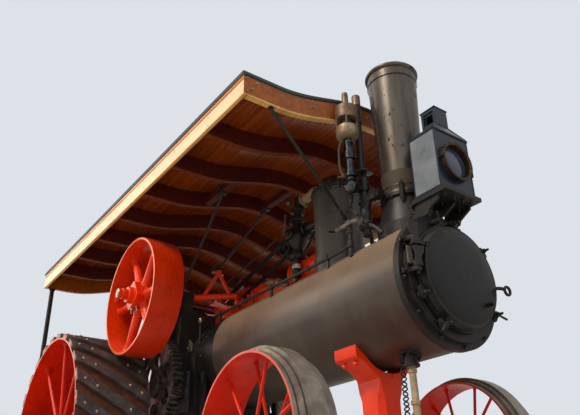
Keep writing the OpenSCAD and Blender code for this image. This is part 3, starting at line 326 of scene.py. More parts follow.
def makeLights():
    for name in ("key", "fill", "rim"):
        lamp = lightSet[name]
        data = bpy.data.lights.new(name, "SUN" if "degrees" in lamp else "AREA")
        data.energy, data.color = lamp["watts"], linear(lamp["colour"])[:3]
        if "degrees" in lamp:
            data.angle = math.radians(lamp["degrees"])
        else:
            data.size = lamp["size"]
        light = bpy.data.objects.new(name, data)
        light.location = lamp["from"]
        aim = Vector(lightSet["aim"]) - light.location
        light.rotation_euler = aim.to_track_quat("-Z", "Y").to_euler()
        scene.collection.objects.link(light)
    world = bpy.data.worlds.new("studio")
    world.use_nodes = True
    scene.world = world
    tree = world.node_tree
    tree.nodes.clear()
    sight = addNode(tree, "LightPath").outputs
    seen = addNode(tree, "Math", {"operation": "MAXIMUM"},
        {0: sight["Is Camera Ray"], 1: sight["Is Transmission Ray"]}).outputs[0]
    height = addNode(tree, "SeparateXYZ", {},
        {0: addNode(tree, "TexCoord").outputs["Generated"]}).outputs["Z"]
    glow = addNode(tree, "MapRange", {**lightSet["sky"], "interpolation_type": "SMOOTHSTEP"},
        {"Value": height})
    around = addNode(tree, "Background", {"Color": (1, 1, 1, 1)}, {"Strength": glow.outputs[0]}).outputs[0]
    behind = addNode(tree, "Background", {"Color": linear(lightSet["backdrop"]),
        "Strength": 1.0}).outputs[0]
    both = addNode(tree, "MixShader", {}, {0: seen, 1: around, 2: behind}).outputs[0]
    addNode(tree, "OutputWorld", {}, {"Surface": both})


def makeFloor():
    mesh = bpy.data.meshes.new("floor")
    corners = [(x * lightSet["floorReach"], y * lightSet["floorReach"], 0)
        for x, y in ((-1, -1), (1, -1), (1, 1), (-1, 1))]
    mesh.from_pydata(corners, [], [(0, 1, 2, 3)])
    floor = bpy.data.objects.new("floor", mesh)
    scene.collection.objects.link(floor)
    material = newSurface("studio_floor", Roughness=0.85)[0]
    base = material.node_tree.nodes["Principled BSDF"].inputs["Base Color"]
    base.default_value = linear(lightSet["floor"])
    mesh.materials.append(material)


# Materials

def newSurface(name, **sockets):
    material = bpy.data.materials.new(name)
    material.use_nodes = True
    tree = material.node_tree
    shader = tree.nodes["Principled BSDF"]
    for key, value in sockets.items():
        shader.inputs[key.replace("_", " ")].default_value = value
    place = addNode(tree, "TexCoord").outputs["Object"]
    return material, tree, shader, place


def perMetre(size):
    # A pattern's real size in millimetres, as a texture's scale
    return 1000 / size


def blotches(tree, place, size, low, high, detail=6, stretch=(1, 1, 1)):
    # A grey mask from cloudy noise whose lumps are size millimetres across
    scaled = addNode(tree, "Mapping", {"Scale": [perMetre(size) * s for s in stretch]}, {"Vector": place})
    noise = addNode(tree, "TexNoise", {"Scale": 1.0, "Detail": detail, "Roughness": 0.6},
        {"Vector": scaled.outputs[0]})
    return addNode(tree, "MapRange", {"From Min": low, "From Max": high},
        {"Value": noise.outputs[0]}).outputs[0]


def facingUp(tree, low, high):
    # White on faces that look up. The lagging uses it for a painted highlight along its upper side; the enamels
    # are made a little paler on top with it
    normal = addNode(tree, "NewGeometry").outputs["Normal"]
    z = addNode(tree, "SeparateXYZ", {}, {0: normal}).outputs["Z"]
    return addNode(tree, "MapRange", {"From Min": low, "From Max": high}, {"Value": z}).outputs[0]


def layer(tree, under, over, mask, strength=1.0):
    # Lays one colour over another where the mask is white; each is a hex code or an earlier layer
    if strength < 1:
        mask = addNode(tree, "Math", {"operation": "MULTIPLY", 1: strength}, {0: mask}).outputs[0]
    mix = addNode(tree, "Mix", {"data_type": "RGBA"}, {0: mask})
    for index, colour in ((6, under), (7, over)):
        if isinstance(colour, str):
            mix.inputs[index].default_value = linear(colour)
        else:
            tree.links.new(colour, mix.inputs[index])
    return mix.outputs[2]


def finish(tree, shader, tone, gloss, relief=None, edge=0.0):
    # gloss: a mask with the roughness where it is black and white
    # relief: a mask with its depth in millimetres
    # edge: how far the solid's sharp edges are rounded, in millimetres
    mask, low, high = gloss
    rough = addNode(tree, "MapRange", {"To Min": low, "To Max": high}, {"Value": mask}).outputs[0]
    tree.links.new(tone, shader.inputs["Base Color"])
    tree.links.new(rough, shader.inputs["Roughness"])
    if relief:
        links = {"Height": relief[0]}
        if edge:
            links["Normal"] = addNode(tree, "Bevel", {"Radius": edge * mm, "samples": 4}).outputs[0]
        surface = addNode(tree, "Bump", {"Distance": relief[1] * mm, "Strength": 1.0}, links).outputs[0]
        tree.links.new(surface, shader.inputs["Normal"])
        return surface


def enamelOnCastIron(name, colour, deep, oiled=None):
    # Brushed gloss enamel over sand-cast iron: bright, a little wavy, chipped and oily in places
    material, tree, shader, place = newSurface(name, IOR=1.5, Specular_IOR_Level=0.25, Coat_Weight=0.06,
        Coat_Roughness=0.15)
    tone = layer(tree, colour, deep, blotches(tree, place, 240, 0.35, 0.7))
    grime = blotches(tree, place, 60, 0.62, 0.78, 8)
    tone = layer(tree, tone, "#3A2A22", grime, 0.55)
    chips = addNode(tree, "Math", {"operation": "MULTIPLY"}, {0: blotches(tree, place, 9, 0.70, 0.72, 3),
        1: blotches(tree, place, 110, 0.5, 0.6, 3)}).outputs[0]
    tone = layer(tree, tone, "#5A2418", chips)
    tone = layer(tree, tone, "#C8A088", facingUp(tree, 0.5, 1.0), 0.1)
    if oiled:
        # Line of oil that a belt left round a rim: its place across the engine and its half width, in mm
        spot = addNode(tree, "NewGeometry").outputs["Position"]
        y = addNode(tree, "SeparateXYZ", {}, {0: spot}).outputs["Y"]
        off = addNode(tree, "Math", {"operation": "SUBTRACT", 1: oiled[0] * mm}, {0: y}).outputs[0]
        away = addNode(tree, "Math", {"operation": "ABSOLUTE"}, {0: off}).outputs[0]
        line = addNode(tree, "MapRange", {"From Min": oiled[1] * mm, "From Max": 0.0},
            {"Value": away}).outputs[0]
        smear = addNode(tree, "Math", {"operation": "MULTIPLY"}, {0: line,
            1: blotches(tree, place, 34, 0.5, 0.6, 5, (1, 3, 1))}).outputs[0]
        tone = layer(tree, tone, "#2A1A16", smear, 0.9)
    finish(tree, shader, tone, (grime, 0.3, 0.6), (blotches(tree, place, 5, 0.2, 0.8, 4), 0.5), 3)
    return material


def blackEnamel(name, colour, worn, gloss=0.36):
    # Stove enamel and old oil on iron: nearly black, satin, browner and duller where dust sticks
    material, tree, shader, place = newSurface(name, IOR=1.5, Specular_IOR_Level=0.32)
    dust = blotches(tree, place, 130, 0.42, 0.72, 8)
    tone = layer(tree, colour, worn, dust, 0.6)
    tone = layer(tree, tone, "#6C6258", facingUp(tree, 0.2, 1.0), 0.2)
    grain = blotches(tree, place, 6, 0.2, 0.8, 5)
    finish(tree, shader, tone, (dust, gloss, gloss + 0.25), (grain, 0.6), 3)
    return material


def laggingSheet(bareBehind):
    # Rolled sheet steel, painted long ago and wiped round the barrel with oily rags
    material, tree, shader, place = newSurface("oiled_lagging_sheet", IOR=1.5, Metallic=0.45,
        Coat_Weight=0.15, Coat_Roughness=0.3)
    wiped = blotches(tree, place, 700, 0.35, 0.75, 5, (5, 1, 1))
    tone = layer(tree, "#453C35", "#5C5047", wiped)
    tone = layer(tree, tone, "#382F2A", blotches(tree, place, 420, 0.35, 0.7, 3), 0.6)
    # Painted highlight: the upper side of the barrel and of the smokebox shell made much lighter
    tone = layer(tree, tone, "#B49A82", facingUp(tree, 0.0, 0.75), 0.85)
    tone = layer(tree, tone, "#241F1C", blotches(tree, place, 45, 0.66, 0.74, 4, (1, 3, 3)), 0.5)
    # Bare black plate behind the last band of the lagging
    x = addNode(tree, "SeparateXYZ", {}, {0: addNode(tree, "NewGeometry").outputs["Position"]}).outputs["X"]
    edge = frontAxle + bareBehind * mm
    bare = addNode(tree, "MapRange", {"From Min": edge + 2 * mm, "From Max": edge - 2 * mm},
        {"Value": x}).outputs[0]
    tone = layer(tree, tone, "#1C1A19", bare)
    # Scratches along the barrel, worn through to rust
    tone = layer(tree, tone, "#7C5A44", blotches(tree, place, 60, 0.72, 0.76, 4, (0.12, 1, 4)), 0.5)
    finish(tree, shader, tone, (wiped, 0.38, 0.5), (blotches(tree, place, 300, 0.2, 0.8, 2), 5))
    return material


def domeSheet():
    # Planished sheet round the dome: dark grey, dull, with a few rub marks
    material, tree, shader, place = newSurface("planished_dome_sheet", IOR=1.5, Metallic=0.4)
    cloud = blotches(tree, place, 160, 0.3, 0.75, 7, (1, 1, 0.35))
    tone = layer(tree, "#484540", "#656058", cloud)
    tone = layer(tree, tone, "#3B2F28", blotches(tree, place, 28, 0.68, 0.76, 5), 0.6)
    finish(tree, shader, tone, (cloud, 0.38, 0.55), (cloud, 0.8), 2)
    return material


def chimneySteel():
    # Hot-rolled steel with its blacking burnt off: brown-grey sheen, rust pits and runs
    material, tree, shader, place = newSurface("burnt_chimney_steel", Metallic=0.7)
    tone = layer(tree, "#4E4842", "#6E665E", blotches(tree, place, 120, 0.3, 0.75, 7, (2.5, 2.5, 0.35)))
    rust = blotches(tree, place, 70, 0.62, 0.67, 9, (1, 1, 0.7))
    tone = layer(tree, tone, "#2F2620", rust)
    spots = blotches(tree, place, 16, 0.68, 0.72, 2)
    tone = layer(tree, tone, "#4E2F1E", spots)
    both = addNode(tree, "Math", {"operation": "MAXIMUM"}, {0: rust, 1: spots}).outputs[0]
    finish(tree, shader, tone, (rust, 0.36, 0.75), (both, -1.2), 2)
    return material


def treadSteel(name, dull, bright, dried, grooves=()):
    # Bare steel plate polished by gravel, with rust and dried mud left in the low places. Grooves run round
    # a tyre: how far from the engine's middle, in mm
    material, tree, shader, place = newSurface(name, Metallic=0.4)
    tone = layer(tree, dull, bright, blotches(tree, place, 90, 0.35, 0.7, 9))
    mud = blotches(tree, place, 42, 0.58, 0.68, 8)
    tone = layer(tree, tone, dried, mud, 0.8)
    pits = blotches(tree, place, 7, 0.3, 0.8, 6)
    if grooves:
        y = addNode(tree, "SeparateXYZ", {}, {0: place}).outputs["Y"]
        out = addNode(tree, "Math", {"operation": "ABSOLUTE"}, {0: y}).outputs[0]
        first, second = [addNode(tree, "Math", {"operation": "COMPARE", 1: at * mm, 2: 5.5 * mm},
            {0: out}).outputs[0]
            for at in grooves]
        cut = addNode(tree, "Math", {"operation": "MAXIMUM"}, {0: first, 1: second}).outputs[0]
        tone = layer(tree, tone, "#2A241F", cut, 0.85)
    surface = finish(tree, shader, tone, (mud, 0.42, 0.85), (pits, 1.4), 3)
    if grooves:
        dent = addNode(tree, "Bump", {"Distance": 5 * mm, "Strength": 1.0, "invert": True},
            {"Height": cut, "Normal": surface})
        tree.links.new(dent.outputs[0], shader.inputs["Normal"])
    return material


def greasyIron():
    # Machined and cast iron under old grease and dust
    material, tree, shader, place = newSurface("greasy_gear_iron", Metallic=0.6)
    grease = blotches(tree, place, 55, 0.4, 0.65, 7)
    tone = layer(tree, "#5A5550", "#1E1916", grease)
    tone = layer(tree, tone, "#5B3A22", blotches(tree, place, 20, 0.62, 0.72, 5), 0.6)
    finish(tree, shader, tone, (grease, 0.42, 0.3), (grease, 0.8), 2)
    return material


def turnedSteel(name, bright, film):
    # Lathe-turned steel kept bright by oil
    material, tree, shader, place = newSurface(name, Metallic=1.0)
    oil = blotches(tree, place, 40, 0.45, 0.75, 6)
    finish(tree, shader, layer(tree, bright, film, oil), (oil, 0.24, 0.5), (oil, 0.2), 1.5)
    return material


def bronze(name, bright, dull, metal=0.7):
    # Cast bronze gone brown, still bright where hands and steam rub it
    material, tree, shader, place = newSurface(name, Metallic=metal)
    dulled = blotches(tree, place, 50, 0.35, 0.7, 7)
    tone = layer(tree, bright, dull, dulled)
    tone = layer(tree, tone, "#3C3026", blotches(tree, place, 14, 0.66, 0.72, 4), 0.7)
    finish(tree, shader, tone, (dulled, 0.35, 0.6), (dulled, 0.5), 2)
    return material


def lampEnamel(name, deep, pale):
    # Blue-black japanned sheet, smooth and glossy with faint orange peel
    material, tree, shader, place = newSurface(name, IOR=1.5, Specular_IOR_Level=0.35, Coat_Weight=0.12,
        Coat_Roughness=0.15)
    cloud = blotches(tree, place, 120, 0.3, 0.75, 6)
    tone = layer(tree, deep, pale, cloud)
    tone = layer(tree, tone, "#5E6670", blotches(tree, place, 22, 0.68, 0.74, 6), 0.5)
    finish(tree, shader, tone, (cloud, 0.24, 0.4), (cloud, 0.6), 2)
    return material


def varnishedPine(name, pale, deep, boardWidth=0.0, gloss=0.3, coat=0.4):
    # Pine under spar varnish: long grain, each board its own tone, orange where it has aged
    material, tree, shader, place = newSurface(name, IOR=1.5, Specular_IOR_Level=0.25, Coat_Weight=coat,
        Coat_Roughness=0.18)
    grain = blotches(tree, place, 26, 0.3, 0.72, 8, (0.05, 1, 1))
    tone = layer(tree, pale, deep, grain)
    if boardWidth:
        y = addNode(tree, "SeparateXYZ", {}, {0: place}).outputs["Y"]
        across = addNode(tree, "Math", {"operation": "MULTIPLY", 1: perMetre(boardWidth)},
            {0: y}).outputs[0]
        number = addNode(tree, "Math", {"operation": "FLOOR"}, {0: across}).outputs[0]
        each = addNode(tree, "TexWhiteNoise", {"noise_dimensions": "1D"}, {"W": number}).outputs["Value"]
        tone = layer(tree, tone, deep, each, 0.45)
    tone = layer(tree, tone, "#3E1408", blotches(tree, place, 350, 0.45, 0.75, 4), 0.35)
    finish(tree, shader, tone, (grain, gloss, gloss + 0.18), (grain, 0.5), 2)
    return material


def roofFelt():
    # Dark green-grey roofing sheet, matt and weathered
    material, tree, shader, place = newSurface("roofing_sheet", IOR=1.5)
    cloud = blotches(tree, place, 300, 0.3, 0.75, 9)
    finish(tree, shader, layer(tree, "#2B3432", "#47504C", cloud), (cloud, 0.6, 0.8), (cloud, 1.0), 3)
    return material


def darkGlass():
    # Old lamp glass with the dark box behind it
    material, tree, shader, place = newSurface("lamp_glass", IOR=1.5, Coat_Weight=0.3, Coat_Roughness=0.05)
    dust = blotches(tree, place, 90, 0.4, 0.75, 6)
    finish(tree, shader, layer(tree, "#2A3444", "#465264", dust), (dust, 0.06, 0.3))
    return material


# Smokebox, door and lamp

doorSet = {
    "rimX": 767, "beadX": 805,
    "hinge": (789, -346, 1475), "knuckle": 66,  # knuckles lie above and below the hinge's middle
    "strapBolts": (293, -283, 17),  # their radius on the door, their y and half their pitch
    "clampR": 352,
    "clamps": ((-154, 0), (-119, 70), (-30, 30), (111, 20), (86, 0), (40, 0)),  # degrees, lever's reach
    "handle": (764, 300, 1388), "eye": (846, 362, 1366),
}


def onBoiler(degrees, radius, x):
    # Point on the boiler's front, degrees up from the engine's left
    across, up = ray(degrees)
    return x, radius * across, boilerZ + radius * up


def dressDoor():
    hingeX, hingeY, hingeZ = doorSet["hinge"]
    bead = [(303, 0), (306, 4), (303, 8), (296, 9), (291, 6), (291, 0)]
    rim = [(322, 0), (325.5, -3), (325.5, -8), (316, -1)]
    shapes = [lathed(bead, 72, (doorSet["beadX"], 0, boilerZ), (1, 0, 0), True),
        lathed(rim, 72, (doorSet["rimX"], 0, boilerZ), (1, 0, 0), True)]
    # Forked straps from the knuckles over the door's side
    boltR, boltY, pitch = doorSet["strapBolts"]
    for end, reach in ((1, 72), (-1, 60)):
        z = hingeZ + end * doorSet["knuckle"]
        lean = end * 10
        outline = [(-18, -24), (30, -17), (60, -26 + lean), (reach + 40, -34 + lean),
            (reach + 40, 34 + lean), (60, 26 + lean), (30, 17), (-18, 24)]
        shapes.append(placed(prism(outline, 0, 13), (798, -350, z), (0.94, -0.34, 0), 90))
        shapes.append(lathed(eased(24, 25, -16, 16), 20, (hingeX, hingeY, z)))
        for k in (-pitch, pitch):
            around = math.degrees(math.atan2(z + lean + k - boilerZ, boltY))
            shapes.append(placed(bolt(17), onBoiler(around, boltR, 800), (0.94, -0.3, 0)))
    shapes.append(lathed([(14, -6), (17, -3), (17, 3), (9, 7)], 18, (hingeX, hingeY, hingeZ + 134)))
    makePiece("door_straps", joined(*shapes), "black_iron", "smokebox_door", bevel=1.5)
    # Clamps round the rim: a bolt, a forged finger over the rim and a nut
    half = [(30, 0), (22, 12), (6, 17), (-30, 16), (-46, 11)]
    finger = prism([(x, -y) for x, y in half[:0:-1]] + half, 0, 15)
    clamps = []
    for degrees, lever in doorSet["clamps"]:
        foot = Vector(onBoiler(degrees, doorSet["clampR"], 768))
        clamps.append(placed(finger, foot, (1, 0, 0), degrees + 90))
        clamps.append(lathed([(15, -22), (15, 10), (12, 14), (12, 22)], 14, foot, (1, 0, 0)))
        clamps.append(placed(bolt(26, 0.9), foot + Vector((15, 0, 0)), (1, 0, 0), degrees))
        if lever:
            path = [(0, 0, 30), (lever * 0.4, 10, 34), (lever, 52, 46)]
            clamps.append(placed(pipe(path, 14, 7), foot, (1, 0, 0), degrees - 60))
    makePiece("door_clamps", joined(*clamps), "black_iron", "smokebox_door", bevel=1.2)
    # Ring handle at the left edge, standing forward of the rim
    eye = tube([(0, y, z) for y, z in circle(26, 20)], 9, 10, True)
    arm = pipe([(776, 300, 1388), (820, 330, 1386), (838, 348, 1376)], 20, 11, 12)
    foot = placed(flange(30, 10, 4, 9), doorSet["handle"], (1, 0, 0))
    makePiece("door_handle", joined(arm, moved(eye, *doorSet["eye"]), foot), "black_iron", "smokebox_door")


smokeboxSet = {
    "studR": 392, "studX": 714, "studs": 12,
    "lugs": (1571, 1379),
    "drain": (430, -90, 1016),
    "chain": (384, -118, 985), "links": 15, "pitch": 28,
}


def dressSmokebox():
    # Studs of the ring, and the lugs that carry the door's hinge
    pitch = 360 // smokeboxSet["studs"]
    shapes = [placed(bolt(19, 0.3), onBoiler(d, smokeboxSet["studR"], smokeboxSet["studX"]), (1, 0, 0), d)
        for d in range(8, 368, pitch)]
    for z in smokeboxSet["lugs"]:
        shapes.append(block((716, -404, z - 15), (735, -330, z + 15)))
        shapes += [placed(bolt(15, 0.3), (735, y, z), (1, 0, 0)) for y in (-392, -352)]
    makePiece("ring_studs", joined(*shapes), "black_iron", bevel=1.5)
    # Worn wrapper plate behind the hinge
    heads = rivets(5, [((748, -351, z), (1, 0, 0)) for z in (1432, 1520)])
    makePiece("hinge_plate", joined(block((742, -372, 1422), (748, -330, 1530)), heads), "bright_steel",
        look=wornPlate, bevel=1)
    # Drain flange, pipe and chain under the smokebox
    x, y, z = smokeboxSet["drain"]
    under = joined(placed(flange(66, 16, 6, 16), (x, y, z), (0, -0.22, -0.97)),
        lathed([(40, 0), (40, 46), (52, 50), (52, 62)], 24, (x, y - 4, z - 14), (0, 0, -1)))
    makePiece("smokebox_drain", under, "black_iron", bevel=1)
    drain = [pipe([(432, -94, 950), (436, -94, 820), (436, -94, 640), (420, -60, 560)], 60, 21, 18)]
    drain += [lathed(eased(21, 27, 0, 29), 8, (434, -94, height)) for height in (900, 720)]
    makePiece("drain_pipe", joined(*drain), "bronze", look=tanPipe)
    link = tube([(11 * c, 19 * s, 0) for c, s in circle(1, 14)], 4.6, 6, True)
    x, y, z = smokeboxSet["chain"]
    chainLinks = [placed(link, (x, y, z - smokeboxSet["pitch"] * n), (1, 0, 0) if n % 2 else (0, 1, 0), 90)
        for n in range(smokeboxSet["links"])]
    makePiece("drain_chain", joined(*chainLinks), "black_iron")


chimneySet = {
    "x": middleOf("chimney")[0], "foot": 2055, "tall": 1029,
    "footR": 135, "flare": 43,  # radius at the foot, and what it gains up to the top
    "studR": 149, "studs": 12, "seamAt": -112,
    "skirtR": 222, "skirtRivets": 20, "shellR": 401,
}


def dressChimney():
    x0, foot = chimneySet["x"], chimneySet["foot"]

    def wall(z):
        return chimneySet["footR"] + chimneySet["flare"] * (z - foot) / chimneySet["tall"]
    # Lapped sheet at the foot
    low, high = foot + 16, foot + 170
    collar = turned([(wall(low) + 1, low), (wall(low) + 4, low + 1), (wall(high - 2) + 4, high - 2),
        (wall(high) + 1, high)], 72, True)
    makePiece("chimney_collar", moved(collar, x0), "chimney_steel", look=scaledSteel)
    # Beads, and the lap up the right side with its rivets
    beads = [moved(turned([(wall(z) + 3, z - 3), (wall(z) + 7, z - 2), (wall(z) + 7, z + 2),
        (wall(z) + 3, z + 3)], 72, True), x0) for z in (foot + 60, foot + 930)]
    c, s = ray(chimneySet["seamAt"])
    seam = rivets(6, [((x0 + (wall(z) + 1) * c, (wall(z) + 1) * s, z), (c, s, 0))
        for z in range(foot + 200, foot + 900, 62)])
    topR = chimneySet["footR"] + chimneySet["flare"]
    strip = [(radius * ray(a)[0], radius * ray(a)[1]) for radius, a in
        ((topR, -118), (topR + 3, -118), (topR + 3, -106), (topR, -106))]
    corners, faces = prism(strip, foot + 172, foot + 960)
    lap = [Vector((x0 + c.x * wall(c.z) / topR, c.y * wall(c.z) / topR, c.z)) for c in corners], faces
    makePiece("chimney_seams", joined(*beads, seam, lap), "chimney_steel")
    # Flange studs and the clamp
    count = chimneySet["studs"]
    studs = [placed(bolt(16), (x0 + x, y, foot + 16)) for x, y in circle(chimneySet["studR"], count, 10)]
    studs += [placed(bolt(16), (x0 + x, y, foot - 24), (0, 0, -1))
        for x, y in circle(chimneySet["studR"] + 3, count, 10)]
    x, y = circle(166, 1, -52)[0]
    low, high = foot - 62, foot + 44
    studs += [block((x0 + x - 13, y - 13, low), (x0 + x + 15, y + 13, high)),
        placed(bolt(24), (x0 + x, y, high)), placed(bolt(24), (x0 + x, y, low), (0, 0, -1))]
    makePiece("chimney_studs", joined(*studs), "black_iron", bevel=1.5)
    # Rivets of the cast foot, on the boiler's round shell
    heads = []
    for x, y in circle(chimneySet["skirtR"], chimneySet["skirtRivets"]):
        up = math.sqrt(chimneySet["shellR"] ** 2 - y * y)
        heads.append(((x0 + x, y, boilerZ + up), (0, y, up)))
    makePiece("chimney_foot_rivets", rivets(9, heads), "black_iron")


lampSet = {
    "back": 668, "front": 878, "half": 155, "low": 1912, "high": 2337,
    "vent": 57, "shoulder": 92, "top": 222,  # the ventilator's half width, its foot and top over the box
}


def dressLamp():
    x0, x1, w, z0, z1 = (lampSet[k] for k in ("back", "front", "half", "low", "high"))
    half, shoulder, top = (lampSet[k] for k in ("vent", "shoulder", "top"))
    mid, middle = (x0 + x1) / 2, (x1, 0, (z0 + z1) / 2)

    def sheet(reach, side, low, high):
        # Slab under or over the box that stands out by reach in front and behind, and by side
        return block((x0 - reach, -w - side, low), (x1 + reach, w + side, high))
    mouldings = [sheet(7, 7, z1 - 9, z1 - 1), sheet(3, 3, z1 - 1, z1 + 5), sheet(12, 9, z0, z0 + 9),
        sheet(6, 5, z0 + 9, z0 + 17)]
    makePiece("lamp_mouldings", joined(*mouldings), "lamp_steel", bevel=1.5)
    # Side sheets, set between folded corners
    folds = [block((x - 5, y - 5, z0 + 17), (x + 5, y + 5, z1 - 9)) for x in (x0 + 3, x1 - 3)
        for y in (-w + 3, w - 3)]
    makePiece("lamp_corners", joined(*folds), "lamp_steel", bevel=1.5)
    # Side sheets, set between folded corners, in a paler copy of the japanned sheet: painted light, as if the
    # sides were lit
    for side, label in sides:
        y = side * (w + 0.6)
        makePiece("lamp_sheet_" + label, block((x0 + 9, y - 0.9, z0 + 20), (x1 - 9, y + 0.9, z1 - 12)),
            "lamp_steel", look=litLampSide, bevel=0.8)
    # Ring round the glass, its hinge and catch, and the glass itself
    ring = [(113, -10), (113, 27), (115, 29.5), (122, 31), (128, 28.5), (129.5, 22), (129.5, 2)]
    makePiece("lamp_ring", lathed(ring, 72, middle, (1, 0, 0), True), "bronze", look=lampRing)
    beads = [lathed([(r - 1.6, z - 1), (r - 1, z + 1.4), (r + 1, z + 1.4), (r + 1.6, z - 1)], 72,
        middle, (1, 0, 0), True) for r, z in ((117, 30), (127, 28.5))]
    makePiece("lamp_ring_beads", joined(*beads), "bronze", look=tanBronze)
    glass = [(114, 0), (96, 5), (70, 9), (36, 12), (0, 13)]
    makePiece("lamp_glass", lathed(glass, 64, (x1 - 8, 0, middle[2]), (1, 0, 0)), "lamp_steel",
        look=lampGlass)
    catch = [lathed(eased(8, 9, -22, 22, 2), 14, (x1 + 12, 143, middle[2] + dz)) for dz in (-40, 40)]
    catch += [block((x1, 128, middle[2] - 52), (x1 + 8, 150, middle[2] + 52)),
        block((x1, -152, middle[2] - 14), (x1 + 10, -130, middle[2] + 14)),
        lathed([(5, 0), (5, 12), (9, 16), (9, 22), (4, 26)], 14, (x1 + 6, -142, middle[2]), (1, 0, 0))]
    makePiece("lamp_catch", joined(*catch), "bronze", look=lampRing, bevel=0.8)
    # Steep roof with the ventilator's square box on it, open on all sides under its hipped cap
    round4 = ((-1, -1), (1, -1), (1, 1), (-1, 1))
    reach = (x1 - x0) / 2
    hips = [(Vector((mid + i * (reach + 4), j * (w + 4), z1 + 4)),
        Vector((mid + i * half, j * half, z1 + shoulder))) for i, j in round4]
    slopes = [(2 * k, (2 * k + 2) % 8, (2 * k + 3) % 8, 2 * k + 1) for k in range(4)]
    shell = [corner for hip in hips for corner in hip], slopes + [(0, 2, 4, 6), (7, 5, 3, 1)]
    makePiece("lamp_roof", joined(shell, *[tube(hip, 4, 8) for hip in hips]), "lamp_steel", bevel=0.8)
    low, high = z1 + shoulder, z1 + top
    vent = [block((mid + i * half - 3, -half, low), (mid + i * half + 3, half, high)) for i in (-1, 1)]
    vent += [block((mid - half, j * half - 3, z), (mid + half, j * half + 3, z + tall)) for j in (-1, 1)
        for z, tall in ((low, 20), (high - 22, 22))]
    vent += [block((mid + i * (half - 9) - 9, j * half - 3, low + 20),
        (mid + i * (half - 9) + 9, j * half + 3, high - 22))
        for i in (-1, 1) for j in (-1, 1)]
    vent.append(block((mid - half - 7, -half - 7, high), (mid + half + 7, half + 7, high + 6)))
    cap = [Vector((mid + i * (half + 2), j * (half + 2), high + 6)) for i, j in round4]
    vent.append((cap + [Vector((mid, 0, high + 18))],
        [(0, 1, 4), (1, 2, 4), (2, 3, 4), (3, 0, 4), (3, 2, 1, 0)]))
    makePiece("lamp_ventilator", joined(*vent), "lamp_steel", bevel=0.8)
    # Bolts, stays and pipe under the shelf
    under = [bolts(17, [((x, y, z0 - 26), (0, 0, -1)) for x in (x0 + 12, x0 + 105, x1 - 10)
        for y in (-120, -40, 40, 120)], 0.5)]
    under += [pipe([(x0 - 40, -w - 4, z0 - 22), (x0 - 40, -w - 2, z0 - 70), (x0 + 4, -w + 26, z0 - 92),
        (x0 + 10, -w + 30, z0 - 140)], 24, 9),
        block((x0 - 60, -w - 12, z0 - 30), (x0 - 14, -w + 40, z0 - 22)),
        lathed([(10, 0), (12, 4), (12, 20), (20, 24), (20, 34), (9, 38), (9, 66), (5, 72)], 16,
            (x0 + 76, -118, z0 - 108), (0, -0.2, 1))]
    makePiece("lamp_bracket_bolts", joined(*under), "black_iron", bevel=1.2)


# Engine on the boiler: cylinder, crosshead guide, crank bearing and struts

engineSet = {
    "y": 60, "z": crankZ,
    "cylinder": (-800, -440), "radius": 118, "chest": 250,
    "guide": (-1581, -1331), "guideR": 133,
    "oilCups": ((-1640, 0, 2068, 74), (-1420, 60, 2038, 40), (crankX, -82, 1996, 46)),  # place and height
    "strutTop": (-1684, -200, 2223),
}


def dressCylinder():
    y, z, (back, front), radius = (engineSet[k] for k in ("y", "z", "cylinder", "radius"))
    # Covers with their studs, and the bands round the lagging
    shapes = []
    cover = [(radius + 10, 0), (radius + 12, 3), (radius + 12, 18), (radius + 8, 22), (70, 22), (60, 30),
        (0, 34)]
    for x, way in ((back, -1), (front, 1)):
        shapes.append(lathed(cover, 48, (x - way * 6, y, z), (way, 0, 0)))
        shapes.append(bolts(20, [((x + way * 16, y + b, z + c), (way, 0, 0))
            for b, c in circle(radius - 8, 10, 12)]))
    for x in (back + 92, front - 92):
        shapes.append(lathed(eased(radius, radius + 3, -13, 13, 2), 48, (x, y, z), (1, 0, 0), True))
    makePiece("cylinder_covers", joined(*shapes), "orange_red", bevel=1)
    # Valve chest's cover nuts, drain cocks and their rod
    chest = bolts(18, [((x, engineSet["chest"], z + dz), (0, 1, 0)) for x in range(back + 30, front, 60)
        for dz in (-86, 86)])
    below = z - radius
    cock = [(13, 0), (13, 26), (9, 30), (9, 54), (6, 56), (6, 78)]
    cocks = [joined(lathed(cock, 16, (x, y - 20, below + 4), (0, 0, -1)),
        tube([(x, y - 20, below - 34), (x, y - 64, below - 40)], 5, 8)) for x in (back + 40, front - 40)]
    rod = tube([(back + 30, y - 66, below - 40), (front - 30, y - 66, below - 40)], 5, 8)
    makePiece("cylinder_cocks", joined(chest, *cocks, rod), "bronze")


